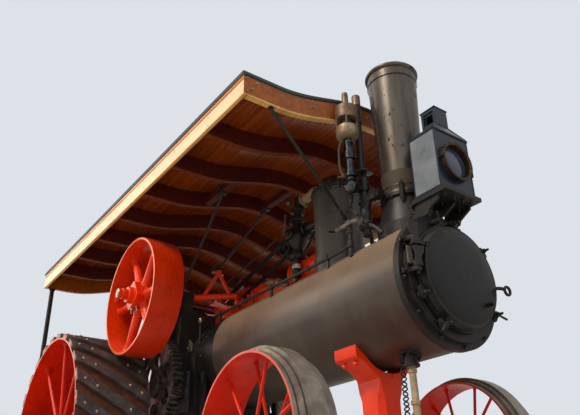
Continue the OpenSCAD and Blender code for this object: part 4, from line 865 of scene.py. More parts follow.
def dressGuide():
    y, z, (back, front) = engineSet["y"], engineSet["z"], engineSet["guide"]
    shapes = [bolts(22, [((back + 28, y + b, z + c), (1, 0, 0))
        for b, c in circle(engineSet["guideR"], 8, 20)]),
        lathed([(116, 0), (121, 3), (121, 26), (116, 30)], 48, (front - 32, y, z), (1, 0, 0)),
        lathed([(116, 0), (124, 8), (124, 20), (116, 28)], 48, (back + 60, y, z), (1, 0, 0))]
    shapes += [lathed([(22, 0), (22, 12), (16, 16)], 20, (x, y - 114, z), (0, -1, 0))
        for x in (-1500, -1400)]
    makePiece("guide_flange_bolts", joined(*shapes), "orange_red", look=darkRed, bevel=1)
    # Oil cups along the top, and the crank bearing's cap with its nuts
    cups = []
    for x, cupY, cupZ, tall in engineSet["oilCups"]:
        cups.append(lathed([(9, 0), (9, 12), (24, 16), (27, 20), (27, tall - 12), (23, tall - 6),
            (12, tall - 4), (12, tall + 4), (5, tall + 8), (5, tall + 20), (0, tall + 21)], 24,
            (x, cupY, cupZ)))
    cups.append(pipe([(-1640, 0, 2070), (-1640, 0, 2010), (-1600, 40, 2010), (-1588, 58, 2040)], 18, 6, 8))
    cups.append(tube([(-1420, 60, 2038), (-1420, 60, 2060)], 8, 10))
    makePiece("oil_cups", joined(*cups), "bright_steel")
    cap = [bolts(26, [((crankX + dx, by, z + 69), (0, 0, 1)) for dx in (-59, 59) for by in (-110, -54)],
        0.9),
        block((crankX - 75, -128, z + 53), (crankX + 75, -36, z + 71))]
    makePiece("crank_bearing_cap", joined(*cap), "orange_red", bevel=2)


def dressStruts():
    top = Vector(engineSet["strutTop"])
    # Black clamp where the struts meet the canopy's stay, with a light bolt through it
    shapes = [block(top + Vector((-40, -30, 4)), top + Vector((34, 30, 20)))]
    shapes += [placed(bolt(22, 0.8), top + Vector((dx, -30, 12)), (0, -1, 0)) for dx in (-24, 20)]
    makePiece("strut_clamp", joined(*shapes), "black_iron", bevel=1.5)
    pin = [(11, -52), (12, -50), (12, 46), (16, 48), (16, 60), (10, 64), (10, 74)]
    makePiece("strut_pin", lathed(pin, 16, top + Vector((-6, 0, -24)), (0.2, -1, 0)), "bright_steel",
        look=greyBolt)


governorSet = {
    "x": -720, "y": -20,
    "pipeZ": 2550,
    "spindle": 2590, "ballR": 82,
    "pulley": (-840, -50, 2170),
    "beltWidth": 44, "beltThick": 5,
}


def strap(start, end, width, thick):
    # Flat belt between two points, its width across the engine
    start, end = Vector(start), Vector(end)
    rise = (end - start).normalized().cross(Vector((0, 1, 0))).normalized() * thick / 2
    across = Vector((0, width / 2, 0))
    corners = [place + s * across + t * rise for place in (start, end)
        for s, t in ((-1, -1), (1, -1), (1, 1), (-1, 1))]
    return corners, [[0, 1, 2, 3], [7, 6, 5, 4]] + [[k, k + 4, (k + 1) % 4 + 4, (k + 1) % 4]
        for k in range(4)]


def dressGovernor():
    # Stop valve and governor between the steam pipe's end and the cylinder
    x, y, pipeZ = (governorSet[k] for k in ("x", "y", "pipeZ"))
    body = [moved(turned([(0, 2030), (70, 2032), (72, 2042), (72, 2058), (46, 2064), (40, 2120), (58, 2150),
        (76, 2190), (80, 2230), (76, 2272), (56, 2306), (44, 2330), (44, 2352), (70, 2358), (72, 2378),
        (40, 2386), (34, 2420), (34, 2452), (60, 2458), (62, 2476), (28, 2482), (22, 2560), (18, 2600),
        (0, 2604)], 40), x, y)]
    body += [pipe([(x, 0, 2440), (x, 0, pipeZ), (x + 60, 0, pipeZ)], 44, 42, 24, 8),
        placed(flange(66, 16, 6, 16), (x + 74, 0, pipeZ), (-1, 0, 0))]
    # Branch toward the dome, the valve's side boss and the flanges' bolts
    body += [lathed([(38, 60), (38, 100), (60, 104), (60, 122), (36, 128), (34, 292)], 28, (x, -10, 2262),
        (1, 0, 0)),
        placed(bolts(14, [((0, 0, 0), (0, 0, 1))]), (x, -98, 2240), (0, -1, 0)),
        lathed([(46, 60), (48, 96), (40, 104), (26, 106), (24, 120), (0, 122)], 24, (x, y, 2240),
            (0, -1, 0))]
    for size, z in ((16, 2058), (14, 2378)):
        body.append(bolts(size, [((x + a, y + b, z), (0, 0, 1)) for a, b in circle(58, 6)]))
    makePiece("governor_body", joined(*body), "black_iron", look=oilyIron, bevel=1, instead=("governor",))
    # Arms and balls
    works = []
    hub = Vector((x, y, governorSet["spindle"]))
    for c, s in circle(1, 3, 30):
        centre = hub + Vector((c * governorSet["ballR"], s * governorSet["ballR"], -66))
        works.append(tube([hub + Vector((c * 14, s * 14, 0)), hub + Vector((c * 60, s * 60, -14)), centre],
            6, 8))
        ball = turned([(0, -27), (14, -23), (24, -12), (27, 0), (24, 12), (14, 23), (0, 27)], 20)
        works.append(moved(ball, *centre))
    makePiece("governor_balls", joined(*works), "gear_iron")
    link = [tube([(x - 34, -118, 2410), (x - 52, -120, 2262)], 8, 10),
        lathed(eased(15, 17, -10, 10), 16, (x - 52, -120, 2258), (0, 1, 0)),
        lathed([(13, -8), (13, 8)], 16, (x - 34, -118, 2414), (0, 1, 0)),
        tube([(x - 52, -120, 2258), (x - 20, -70, 2240)], 9, 10)]
    makePiece("governor_link", joined(*link), "bright_steel")
    # Pulley on its bearing, with three spokes
    px, py, pz = governorSet["pulley"]
    wheel = [(66, -24), (70, -22), (74, 0), (70, 22), (66, 24), (60, 24), (60, -24)]
    pulley = [lathed(wheel, 36, (px, py, pz), (0, 1, 0), True),
        lathed([(24, -34), (24, 34)], 20, (px, py, pz), (0, 1, 0)),
        tube([(px, py - 40, pz), (px, py + 60, pz)], 11, 12)]
    for a in (0.3, 0.3 + math.tau / 3, 0.3 - math.tau / 3):
        inner, outer = [(px + math.cos(a) * reach, py, pz + math.sin(a) * reach) for reach in (20, 64)]
        pulley.append(tube([inner, outer], 8, 8))
    pulley.append(block((px - 20, -8, pz - 14), (x, 8, pz + 14)))
    makePiece("governor_pulley", joined(*pulley), "gear_iron", look=oilyIron)
    # Its belt, from the pulley back to the crankshaft, and the thin cut-off rod beside it
    belt = [strap((px + dx, py, pz + dz), (crankX, py, crankZ + end), governorSet["beltWidth"],
        governorSet["beltThick"])
        for dx, dz, end in ((-10, 72, 70), (4, -70, -70))]
    makePiece("governor_belt", joined(*belt), "black_iron", look=beltLeather)
    makePiece("governor_rod", tube([(-725, -200, 2192), (-1535, -200, 2060)], 6, 8), "black_iron")


lubricatorSet = {
    "base": (-647, -100, 1812),
    "glass": (98, 138),  # heights of its ends over the base
    "pipe": ((-930, -50, 1936), (-1080, 14, 1998), (-1180, 40, 1960)),
}


def dressLubricator():
    # Sight-feed lubricator on the cylinder, with its bent pipe to the guide
    base = x, y, z = lubricatorSet["base"]
    low, high = lubricatorSet["glass"]
    black = [lathed([(14, 0), (14, 30), (34, 34), (38, 40), (38, low - 2), (32, low + 2)], 28, base),
        lathed([(32, high - 2), (40, high), (44, 146), (44, 152), (14, 160), (14, 178), (8, 182), (8, 200),
            (0, 202)], 28, base),
        tube([(x, y - 26, z + 180), (x, y + 26, z + 186)], 5, 8),
        pipe([(x, y, z + 14), (x, y, z - 22), (x, y + 70, z - 10)], 16, 13, 12)]
    makePiece("lubricator_body", joined(*black), "bronze", look=oilyIron)
    makePiece("lubricator_glass", lathed([(30, low), (30, high)], 28, base), "bright_steel", look=paleGlass)
    guard = [tube([Vector(base) + Vector((c, s, low - 2)), Vector(base) + Vector((c, s, high + 2))], 3.5, 8)
        for c, s in circle(35, 4, 20)]
    feed = pipe([(x - 10, y, z + 20), (x - 110, y, z + 10), *lubricatorSet["pipe"]], 50, 8)
    makePiece("lubricator_pipe", joined(*guard, feed), "bright_steel", look=greyBolt)


# Dome, steam pipe, whistle and valves

domeSet = {
    "x": middleOf("steam_dome")[0], "radius": 183, "top": 2370,
    "lap": 2168, "foot": 1700, "band": 1853,  # heights of the joint, the foot and the band over the skirt
    "bolts": 16,
}


def dressDome():
    x, radius, top, lap = (domeSet[k] for k in ("x", "radius", "top", "lap"))
    foot, band, count = (domeSet[k] for k in ("foot", "band", "bolts"))
    pipeX, pipeZ = governorSet["x"], governorSet["pipeZ"]
    # Lapped joint, the band at the foot, and the skirt below it
    rings = [eased(radius, radius + 3, lap, lap + 14, 1),
        [(radius, band), (radius + 4, band + 2), (radius + 4, band + 13), (radius, band + 15)]]
    makePiece("dome_laps", joined(*[moved(turned(ring, 72, True), x) for ring in rings]), "dome_grey")
    skirt = [(radius + 0.6, foot), (radius + 2.4, foot), (radius + 2.4, band), (radius + 0.6, band)]
    makePiece("dome_skirt", moved(turned(skirt, 72, True), x), "lagging")
    # The lid's flange with its bolts
    lid = turned([(radius - 4, top + 18), (radius + 16, top + 20), (radius + 18, top + 26),
        (radius + 18, top + 44), (radius + 12, top + 50), (radius - 30, top + 50)], 64, True)
    around = bolts(22, [((x + a, b, top + 50), (0, 0, 1)) for a, b in circle(radius - 4, count)])
    below = bolts(20, [((x + a, b, top + 18), (0, 0, -1)) for a, b in circle(radius + 4, count, 11)], 0.2)
    makePiece("dome_lid", joined(moved(lid, x), around, below), "black_iron", bevel=1)
    # Elbow on the lid, tan pipe with its threaded socket, and its end at the governor
    elbow = [pipe([(x, 0, top + 46), (x, 0, pipeZ), (x - 90, 0, pipeZ)], 60, 47, 28, 8),
        placed(flange(86, 18, 6, 18), (x, 0, top + 52)),
        lathed([(52, 0), (54, 3), (54, 30), (50, 34)], 28, (x - 82, 0, pipeZ), (-1, 0, 0))]
    makePiece("steam_elbow", joined(*elbow), "bronze", look=oliveBronze, instead=("steam_pipe",))
    socket = [(36, 0), (44, 3), (45, 8), (45, 62), (44, 67), (36, 70)]
    end = [(36, 0), (58, 2), (60, 6), (60, 16), (58, 20), (36, 22)]
    main = [tube([(x - 80, 0, pipeZ), (pipeX + 56, 0, pipeZ)], 36, 28),
        lathed(socket, 28, (-470, 0, pipeZ), (-1, 0, 0)),
        lathed(end, 32, (pipeX + 80, 0, pipeZ), (-1, 0, 0))]
    makePiece("steam_main", joined(*main), "bronze", look=tanPipe)


whistleSet = {
    "place": (280, -324, 2134),
    "bowl": [(28, 374), (60, 384), (76, 396), (78, 402), (78, 462), (74, 467), (64, 467), (62, 462),
        (30, 460)],
    "bell": [(62, 530), (74, 530), (78, 534), (78, 620), (74, 634), (58, 644), (30, 648), (24, 652),
        (23, 740), (20, 764), (12, 770), (0, 772)],
    "window": (460, 536), "posts": 5,
    "cord": 324,
    "relief": (262, -200, 2130),
}


def dressWhistle():
    place = x, y, z = whistleSet["place"]
    ball = [(0, -50), (22, -46), (40, -30), (50, 0), (40, 30), (22, 46), (16, 62)]
    makePiece("whistle_ball", lathed(ball, 32, place), "bright_steel", look=oilyBall, instead=("whistle",))
    couplings = [(28, 40), (36, 46), (36, 58), (30, 62), (30, 70), (43, 74), (43, 92), (34, 96), (34, 128),
        (30, 130), (30, 208), (40, 212), (40, 262), (37, 266), (37, 270), (30, 274), (30, 334), (34, 338),
        (34, 348), (28, 352), (28, 392)]
    makePiece("whistle_couplings", lathed(couplings, 32, place), "bright_steel", look=blueSteel)
    end = (x - 60, y - 60, z + 84)
    path = [(-6, -22, 392), (-36, -50, 330), (-38, -58, 250), (-36, -58, 120), (-12, -46, 78)]
    lever = [pipe([(x + dx, y + dy, z + dz) for dx, dy, dz in path], 60, 8),
        lathed([(15, -16), (15, 16)], 14, (x - 10, y - 44, z + 76), (0, 1, 0)),
        tube([end, (x - 16, y - 46, z + 76)], 7, 8)]
    makePiece("whistle_lever", joined(*lever), "black_iron", look=scaledSteel)
    makePiece("whistle_cord", tube([end, (x - 64, y - 60, end[2] - whistleSet["cord"])], 3, 6),
        "black_iron")
    # Bowl, the window with its posts, the bell and its stub
    low, high = whistleSet["window"]
    posts = [block((x + a - 6, y + b - 6, z + low + 2), (x + a + 6, y + b + 6, z + high))
        for a, b in circle(71, whistleSet["posts"], 30)]
    makePiece("whistle_bowl", lathed(whistleSet["bowl"], 40, place), "bronze", look=paleBronze)
    makePiece("whistle_bell", joined(lathed(whistleSet["bell"], 40, place), *posts), "bronze",
        look=tanBronze, bevel=1)
    makePiece("whistle_core", lathed([(44, low), (44, high)], 24, place), "black_iron", look=oilyIron)
    # Tall relief pipe behind it, open at the top
    x, y, z = whistleSet["relief"]
    rising = [(26, 0), (26, 560), (31, 564), (31, 588), (26, 592), (26, 720)]
    makePiece("relief_pipe", lathed(rising, 24, (x, y, z)), "black_iron", look=oilyIron)
    mouth = [(27, 0), (31, 2), (31, 84), (28, 90), (24, 90), (24, 20), (0, 20)]
    makePiece("relief_pipe_end", lathed(mouth, 24, (x, y, z + 716)), "bronze", look=tanBronze)


valveSet = {
    "stop": (268, -200, 1812),
    "body": [(26, 0), (30, 4), (30, 40), (44, 46), (47, 54), (47, 66), (36, 72), (32, 96), (38, 120),
        (42, 160), (38, 200), (32, 220), (32, 236), (44, 240), (44, 262), (34, 268), (30, 300), (30, 330)],
    "branchZ": 2069,
    "feed": (-300, 1738),  # across the engine, and height
    "handPipe": ((76, 1902), (140, 1898), (236, 1909), (300, 1886)),
    "stand": 208,
    "clips": (-1457, -700, -30), "unions": (-1080, -260),
}


def dressValves():
    # Stop valve, pop valve and their pipes between the dome and the chimney
    place = x, y, z = valveSet["stop"]
    branchZ = valveSet["branchZ"]
    up = [lathed(valveSet["body"], 32, place),
        bolts(16, [((x + a, y + b, z + 66), (0, 0, 1)) for a, b in circle(39, 6)], 0.5),
        pipe([(x, y, 1980), (x + 30, y, branchZ), (x + 160, y, branchZ)], 40, 30, 20, 6),
        lathed([(40, 0), (42, 3), (42, 26), (36, 30)], 8, (x + 92, y, branchZ), (1, 0, 0)),
        pipe([(x, y, 2110), (x, y, 2150), (x, y - 124, 2134)], 24, 26, 18, 5),
        lathed([(14, 0), (14, 40), (60, 44), (64, 50), (60, 56), (16, 58), (10, 74), (0, 76)], 24,
            (x + 10, y, 2236), (0.2, 0, 1)),
        lathed([(36, 0), (38, 6), (38, 60), (30, 70), (30, 100), (22, 110)], 24, (x + 4, y, 2140),
            (0.1, 0, 1))]
    makePiece("stop_valve", joined(*up), "black_iron", look=oilyIron, bevel=1, instead=("safety_valve",))
    small = [pipe([(x + 30, y - 20, 2240), (x - 40, y - 50, 2200), (x - 60, y - 60, 2080),
        (x - 120, y - 40, 1960)], 40, 8),
        pipe([(x - 70, y - 70, 2160), (x - 66, y - 70, 2020), (x - 20, y - 60, 1960)], 30, 7),
        lathed([(13, -20), (13, 20)], 12, (x - 62, y - 62, 2090), (0.1, 0, 1)),
        placed(bolt(18), (x - 60, y - 72, 2032), (0, -1, 0))]
    makePiece("valve_pipes", joined(*small), "black_iron", look=oilyIron)
    # Hand valve on its bent pipe, level along the boiler, over the feed pipe's stand
    y, stand = valveSet["feed"][0], valveSet["stand"]
    start = (76, y, 1902)
    run = [pipe([(px, y, pz) for px, pz in valveSet["handPipe"]], 50, 16, 16),
        lathed([(18, 0), (21, 3), (21, 16), (13, 20), (13, 40), (19, 42), (19, 56), (13, 60)], 6,
            (84, y, 1902), (1, 0, 0)),
        lathed(eased(20, 24, -14, 14, 4), 8, (stand, y, 1906), (1, 0, 0))]
    makePiece("hand_valve", joined(*run), "bronze", look=valveBronze)
    black = [pipe([(290, y, 1891), (346, y, 1850), (424, y + 16, 1797), (470, y + 30, 1742)], 30, 14, 14),
        lathed(eased(24, 29, -18, 18, 6), 16, (372, y + 4, 1832), (0.8, 0, -0.6)),
        pipe([start, (66, y, 1902), (60, y - 20, 1896), (58, y - 60, 1890)], 8, 8, 10, 3),
        tube([(stand, y, 1926), (stand, y, 1878)], 17, 14),
        tube([(372, y - 46, 1836), (372, y + 20, 1832)], 8, 10),
        lathed(eased(22, 26, 0, 10), 18, (372, y - 46, 1836), (0, -1, 0))]
    makePiece("blower_valve", joined(*black), "black_iron", bevel=1)


def dressFeedPipe():
    # Long pipe over the barrel, with its clips, clamps and unions, up to its stand
    (y, z), stand = valveSet["feed"], valveSet["stand"]
    run = [pipe([(-1577, y, z), (120, y, z), (176, y, z + 10), (stand, y, z + 14)], 60, 12, 16, 6),
        tube([(stand, y, z - 70), (stand, y, z + 190)], 13, 14),
        lathed(eased(19, 22, -22, 22, 4), 16, (stand, y, z + 14)),
        lathed(eased(16, 22, 0, 20, 2), 6, (stand, y, z + 90))]
    for x in valveSet["clips"]:
        run += [block((x - 11, y - 7, z - 96), (x + 11, y + 7, z)),
            lathed(eased(13, 19, -12, 12, 2), 20, (x, y, z), (1, 0, 0)),
            placed(bolt(13, 0.5), (x, y - 4, z + 17), (0, -0.2, 1))]
    for x in valveSet["unions"]:
        run.append(lathed(eased(14, 19, 0, 29), 6, (x, y, z), (1, 0, 0)))
    makePiece("long_feed_pipe", joined(*run), "black_iron", bevel=0.8, instead=("feed_pipe",))


# Wheels, flywheel and gears

def paintFaces(name, looks, choose):
    # choose picks the node's own finish (0) or one of looks for each face, from its middle and normal
    solid = nodes[name]
    for look in looks:
        solid.data.materials.append(look)
    turn = solid.matrix_world.to_3x3()
    for face in solid.data.polygons:
        middle = (solid.matrix_world @ face.center) / mm
        face.material_index = choose(middle - Vector((frontAxle / mm, 0, 0)), turn @ face.normal)


def aroundY(shape, centre, mirrored):
    # Turns a shape built about the Y axis at the origin to a wheel's place, on the left or the right
    side = -1 if mirrored else 1
    return [Vector((centre[0] + c.x, side * c.y, centre[1] + c.z)) for c in shape[0]], shape[1]


def spokeEnds(count, mid, rimR, rimAside, hubR, hubAside):
    # (rim, hub) ends of two rows of spokes, the second row half a pitch on
    ends = []
    for row, shift in ((-1, 0), (1, 0.5)):
        for k in range(count):
            angle = math.tau * (k + shift) / count
            out = Vector((math.cos(angle), 0, -math.sin(angle)))
            ends.append((out * rimR + Vector((0, mid + row * rimAside, 0)),
                out * hubR + Vector((0, mid + row * hubAside, 0))))
    return ends


rearX, rearZ = middleOf("rear_wheel_right")[::2]
rearSet = {
    "mid": 931, "half": 305,  # middle of the tread across the engine, and half the hub's length
    "plate": 838, "tip": 878, "inner": 824,  # radii of the tread plate, the lugs' tops and the inner face
    "lugs": 26, "skew": 32, "rivets": (-280, -165, 165, 280),
    "spokes": 10,
}


def paintRearWheel(name):
    plate = rearSet["plate"]

    # Painted highlight: the plate's side faces near its edge (4) in a paler red, for light caught along the rim
    def choose(place, normal):
        radius = math.hypot(place.x - rearX, place.z - rearZ)
        if radius > plate + 4:
            return 2 if abs(normal.y) > 0.9 else 1
        if radius > plate - 1.5 and abs(normal.y) < 0.5:
            return 3
        return 4 if radius > plate - 16 and abs(normal.y) > 0.9 else 0
    paintFaces(name, (lugSteel, lugEnd, plateRust, edgeHighlightRed), choose)


def rearWheelDetail(name, mirrored):
    mid, place = rearSet["mid"], (rearX, rearZ)
    slant = math.radians(rearSet["skew"])
    outside, inside = [], []
    for k in range(rearSet["lugs"]):
        angle = math.tau * k / rearSet["lugs"]
        for along in rearSet["rivets"]:
            # Along the lug's slanted middle line: on its curved top, and on the plate's inner face
            aside, y = along * math.sin(slant), mid + along * math.cos(slant)
            for radius, size, sign, shapes in ((rearSet["tip"], 14, 1, outside),
                    (rearSet["inner"], 11, -1, inside)):
                out = math.sqrt(radius ** 2 - aside ** 2)
                x = out * math.cos(angle) + aside * math.sin(angle)
                z = -out * math.sin(angle) + aside * math.cos(angle)
                if rearZ + z > 11:  # no head under the lugs that stand on the ground
                    shapes.append(placed(rivet(size), (x, y, z), (sign * x, 0, sign * z)))
    # Spokes' flared feet, each riveted to the plate, and the nuts at the hub
    foot = joined(turned([(44, 0), (44, 6), (30, 10), (21, 34), (17.5, 70)], 20),
        rivets(9, [((x, y, 6), (0, 0, 1)) for x, y in circle(35, 4, 45)]))
    nut = turned([(30, -16), (32, -13), (32, 4), (27, 8), (27, 26), (24, 30), (17.5, 44)], 16)
    ends = spokeEnds(rearSet["spokes"], mid, 825, 190, 128, 151)
    feet = [placed(foot, rim, hub - rim) for rim, hub in ends]
    # Hub: nuts, bands on the flanges and beads on the nave, with the grease cup between
    nave = mid + rearSet["half"]
    hub = [placed(nut, hub, rim - hub) for rim, hub in ends]
    hub += [lathed(eased(131, 134, -24, 24, 4), 48, (0, mid + s * 150, 0), (0, 1, 0)) for s in (-1, 1)]
    hub += [lathed(eased(106, 113, -10, 10, 4), 48, (0, y, 0), (0, 1, 0)) for y in (nave - 96, nave + 8)]
    hub.append(lathed([(16, 0), (16, 14), (24, 18), (24, 36), (18, 42), (0, 44)], 18, (0, nave - 50, 104)))
    for piece, shapes, slotName, look, bevel in (("lug_rivets", outside, "gear_iron", rivetSteel, 0),
            ("plate_rivets", inside, "wheel_red", None, 0), ("spoke_feet", feet, "wheel_red", None, 0),
            ("hub", hub, "wheel_red", None, 1.5)):
        makePiece(name + "_" + piece, aroundY(joined(*shapes), place, mirrored), slotName, name, look,
            bevel)


frontSet = {
    "z": middleOf("front_wheel_right")[2], "mid": 850, "half": 135,
    "inner": 471, "tread": 520.2,  # radii of the rim's inner face and of the tyre
    "spokes": 7,
}


def paintFrontWheel(name):
    inner = frontSet["inner"]

    # Painted highlight: the rim's side faces near its inner edge (2) in a paler red, for light caught along the
    # rim
    def choose(place, normal):
        radius = math.hypot(place.x, place.z - frontSet["z"])
        if radius > inner + 0.5 and (abs(normal.y) < 0.5 or radius > inner + 15):
            return 1
        return 2 if radius > inner - 2 and abs(normal.y) > 0.9 else 0
    paintFaces(name, (tyreSteel, edgeHighlightRed), choose)


def frontWheelDetail(name, mirrored):
    mid, inner, place = frontSet["mid"], frontSet["inner"], (0, frontSet["z"])
    foot = turned([(19, 0), (19, 4), (14, 7), (12, 22), (10.3, 34)], 16)
    nut = turned([(17, -10), (18, -8), (18, 10), (15, 14), (10.3, 22)], 14)
    feet = [shape for rim, hub in spokeEnds(frontSet["spokes"], mid, inner, 30, 73, 60)
        for shape in (placed(foot, rim, hub - rim), placed(nut, hub, rim - hub))]
    # Countersunk heads in the tread's middle band, worn flush
    heads = []
    for k, (c, s) in enumerate(circle(1, 2 * frontSet["spokes"])):
        out = Vector((c, 0, -s))
        where = out * frontSet["tread"] + Vector((0, mid + (k % 2 * 2 - 1) * 30, 0))
        heads.append(lathed([(13, -1), (13, 0.4), (9, 1.1), (0, 1.4)], 14, where, out))
    # Dust cap and grease nut, hub bands, and the butt strap's rivets inside the rim
    hub = [lathed([(58, 0), (60, 3), (60, 14), (48, 18), (46, 44), (40, 52), (16, 55), (16, 66), (0, 67)],
        36, (0, mid + frontSet["half"] + 24, 0), (0, 1, 0))]
    hub += [lathed(eased(75, 77, -16, 16), 36, (0, mid + s * 60, 0), (0, 1, 0)) for s in (-1, 1)]
    hub += [placed(rivet(7), (inner * math.cos(a), mid + y, -inner * math.sin(a)),
        (-math.cos(a), 0, math.sin(a)))
        for a in (1.35, 1.42, 1.52, 1.59) for y in (-90, -45, 0, 45, 90)]
    for piece, shapes, slotName, look, bevel in (("spoke_feet", feet, "wheel_red", None, 0),
            ("spoke_heads", heads, "gear_iron", rivetSteel, 0), ("hub", hub, "wheel_red", None, 1)):
        makePiece(name + "_" + piece, aroundY(joined(*shapes), place, mirrored), slotName, name, look,
            bevel)


flySet = {
    "face": -935, "width": 260, "rim": 470, "spokes": 6,
    "weight": 197,  # the balance weight's middle, in degrees
}


def dressFlywheel():
    x0, z0, face, rim = crankX, crankZ, flySet["face"], flySet["rim"]

    # Painted highlight: the rim's outer side face in a paler orange, for light caught along its edge. The belt
    # face gets its own enamel
    def choose(place, normal):
        radius = math.hypot(place.x - x0, place.z - z0)
        if radius > rim and normal.y < -0.9:
            return 1
        return 2 if radius > rim + 30 and abs(normal.y) < 0.2 else 0
    paintFaces("flywheel", (edgeHighlightOrange, beltFace), choose)
    # Spokes swell where they run into the hub and the rim
    hub = []
    middle = Vector((x0, face + flySet["width"] / 2, z0))
    for c, s in circle(1, flySet["spokes"]):
        out = Vector((c, 0, -s))
        hub.append(lathed([(66, 0), (56, 12), (48, 34), (43.6, 64)], 24, middle + out * 92, out))
        hub.append(lathed([(50, 0), (44, 9), (38, 26), (34.6, 52)], 24, middle + out * (rim + 5), -out))
    # Squared boss with chamfers outside, clamp bolts through its split, and the key
    boss = prism([(-78, -98), (78, -98), (98, -78), (98, 78), (78, 98), (-78, 98), (-98, 78), (-98, -78)],
        0, 64)
    hub += [placed(boss, (x0, face + 84, z0), (0, -1, 0), 28),
        lathed([(72, 0), (70, 40), (64, 46)], 36, (x0, face + 24, z0), (0, -1, 0))]
    makePiece("flywheel_hub", joined(*hub), "orange_red", "crank", bevel=5)
    clamps = [placed(bolt(30, 0.9), (x0 + x, y, z0 - 96), (x * 0.002, 0, -1))
        for x, y in ((-34, face + 52), (38, face + 66))]
    clamps.append(lathed([(12, 0), (12, 26), (8, 30)], 14, (x0 + 4, face + 40, z0 - 108), (0.1, -0.3, -1)))
    makePiece("flywheel_set_bolts", joined(*clamps), "bright_steel", "crank", look=greyBolt, bevel=1)
    # Shaft end: sleeve, turned end and its centre
    sleeve = [(46, 0), (47, 2), (47, 62), (44, 66), (38.7, 66), (38.7, 100), (36, 101.5)]
    makePiece("shaft_sleeve", lathed(sleeve, 36, (x0, face + 2, z0), (0, -1, 0)), "orange_red", "crank")
    tip = [(30, 0), (31, 2), (28, 5), (10, 5), (7, 2), (0, 2)]
    makePiece("shaft_centre", lathed(tip, 28, (x0, face - 99, z0), (0, -1, 0)), "bright_steel", "crank",
        look=paleEnd)
    # Balance weight: a rounded pad cast inside the rim
    path, sizes = [], []
    for t in range(9):
        c, s = ray(flySet["weight"] + (t - 4) * 1.9)
        path.append((x0 + c * rim, face + 70, z0 - s * rim))
        sizes.append(26 * math.sin(math.pi * (t + 0.5) / 9) ** 0.4 + 6)
    makePiece("flywheel_weight", tube(path, sizes, 18), "orange_red", "crank")


def dressWheels():
    for side, mirrored in (("left", False), ("right", True)):
        paintRearWheel("rear_wheel_" + side)
        rearWheelDetail("rear_" + side, mirrored)
        paintFrontWheel("front_wheel_" + side)
        frontWheelDetail("front_" + side, mirrored)


# Canopy

canopySet = {
    "front": 207, "back": -4015, "half": 1120,
    "eave": 2776, "rise": 152, "crown": 850,  # the roof's curve, from its edges to its middle
    "rib": 38, "bays": 8, "deep": 176,
    "boards": 40, "nails": 528,
}


def roofZ(y):
    part = max(0, 1 - abs(y) / canopySet["crown"])
    return canopySet["eave"] + canopySet["rise"] * (1 - math.cos(math.pi * part)) / 2


def acrossRoof(x0, x1, low, high, half):
    # Strip across the canopy that follows the roof's curve, low and high counted down from it
    steps = 48
    ys = [-half + 2 * half * k / steps for k in range(steps + 1)]
    outline = [(y, roofZ(y) - low) for y in ys] + [(y, roofZ(y) - high) for y in reversed(ys)]
    count = len(outline)
    faces = loops(count)
    for side in (0, count):
        faces += [[side + k, side + k + 1, side + count - 2 - k, side + count - 1 - k]
            for k in range(steps)]
    return [Vector((x, y, z)) for x in (x0, x1) for y, z in outline], faces


